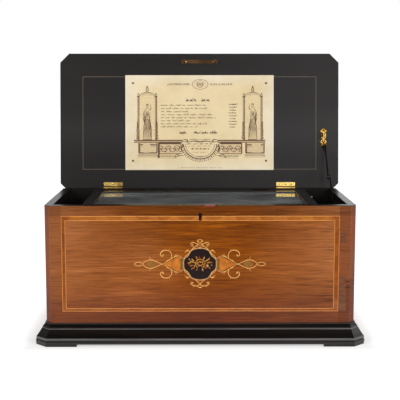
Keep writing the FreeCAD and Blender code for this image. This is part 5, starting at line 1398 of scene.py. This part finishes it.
# the room: white behind and beside the object, dim in front and overhead
w = bpy.data.worlds.new("studio")
bpy.context.scene.world = w
w.use_nodes = True
wt = w.node_tree
bg = wt.nodes["Background"]
tc = wt.nodes.new("ShaderNodeTexCoord")
sp = wt.nodes.new("ShaderNodeSeparateXYZ")
wt.links.new(tc.outputs["Generated"], sp.inputs[0])


def wmap(sock, a, b, c, d):
    m = wt.nodes.new("ShaderNodeMapRange")
    m.interpolation_type = "SMOOTHSTEP"
    wt.links.new(sock, m.inputs["Value"])
    for k, v in zip(("From Min", "From Max", "To Min", "To Max"), (a, b, c, d)):
        m.inputs[k].default_value = v
    return m.outputs[0]


def wmath(op, a, b):
    m = wt.nodes.new("ShaderNodeMath")
    m.operation = op
    for s_, v in ((m.inputs[0], a), (m.inputs[1], b)):
        if isinstance(v, (int, float)):
            s_.default_value = v
        else:
            wt.links.new(v, s_)
    return m.outputs[0]


back = wmap(sp.outputs["Y"], 0.55, 0.90, 0.0, 1.0)
across = wmap(sp.outputs["X"], -0.08, 0.12, W_FRONT * 0.90, W_FRONT * 4.2)
rise = wmath("MULTIPLY", wmap(sp.outputs["Z"], 0.09, 0.17, 0.55, 1.0), wmap(sp.outputs["Z"], 0.19, 0.27, 1.0, 0.72))
rest = wmath("MULTIPLY", across, rise)
high = wmap(sp.outputs["Z"], 0.30, 0.70, 1.0, W_TOP)
st = wmath("MULTIPLY", wmath("MAXIMUM", back, rest), high)
lp = wt.nodes.new("ShaderNodeLightPath")
wt.links.new(wmath("MAXIMUM", st, lp.outputs["Is Camera Ray"]), bg.inputs[1])
bg.inputs[0].default_value = (1, 1, 1, 1)


def area(name, loc, target, size, power, color=(1, 1, 1)):
    ld = bpy.data.lights.new(name, "AREA")
    ld.shape = "RECTANGLE"
    ld.size, ld.size_y = size
    ld.energy = power
    ld.color = color
    o = bpy.data.objects.new(name, ld)
    o.location = loc
    o.rotation_euler = (Vector(target) - Vector(loc)).to_track_quat("-Z", "Y").to_euler()
    bpy.context.scene.collection.objects.link(o)
    return o


area("key", (-1.7, -1.9, 1.35), (0, 0, 0.2), (1.0, 1.3), 42, (1.0, 0.985, 0.96))
area("fill", (1.8, -1.8, 1.25), (0, 0, 0.2), (1.0, 1.3), 34, (1.0, 0.985, 0.96))
area("strip", (0, -1.5, 0.66), (0, -0.15, 0.03), (1.3, 0.05), 0.7)

cam = bpy.data.cameras.new("camera")
cam.sensor_width = 36.0
cam.lens = 85.95
cam.clip_end = 50
co = bpy.data.objects.new("camera", cam)
co.location = P3(-9.87, -1689.05, 488.08)
co.rotation_euler = (math.pi / 2 - 0.1317, 0.0, -0.0055)
bpy.context.scene.collection.objects.link(co)
bpy.context.scene.camera = co
bpy.context.scene.view_settings.view_transform = "Standard"
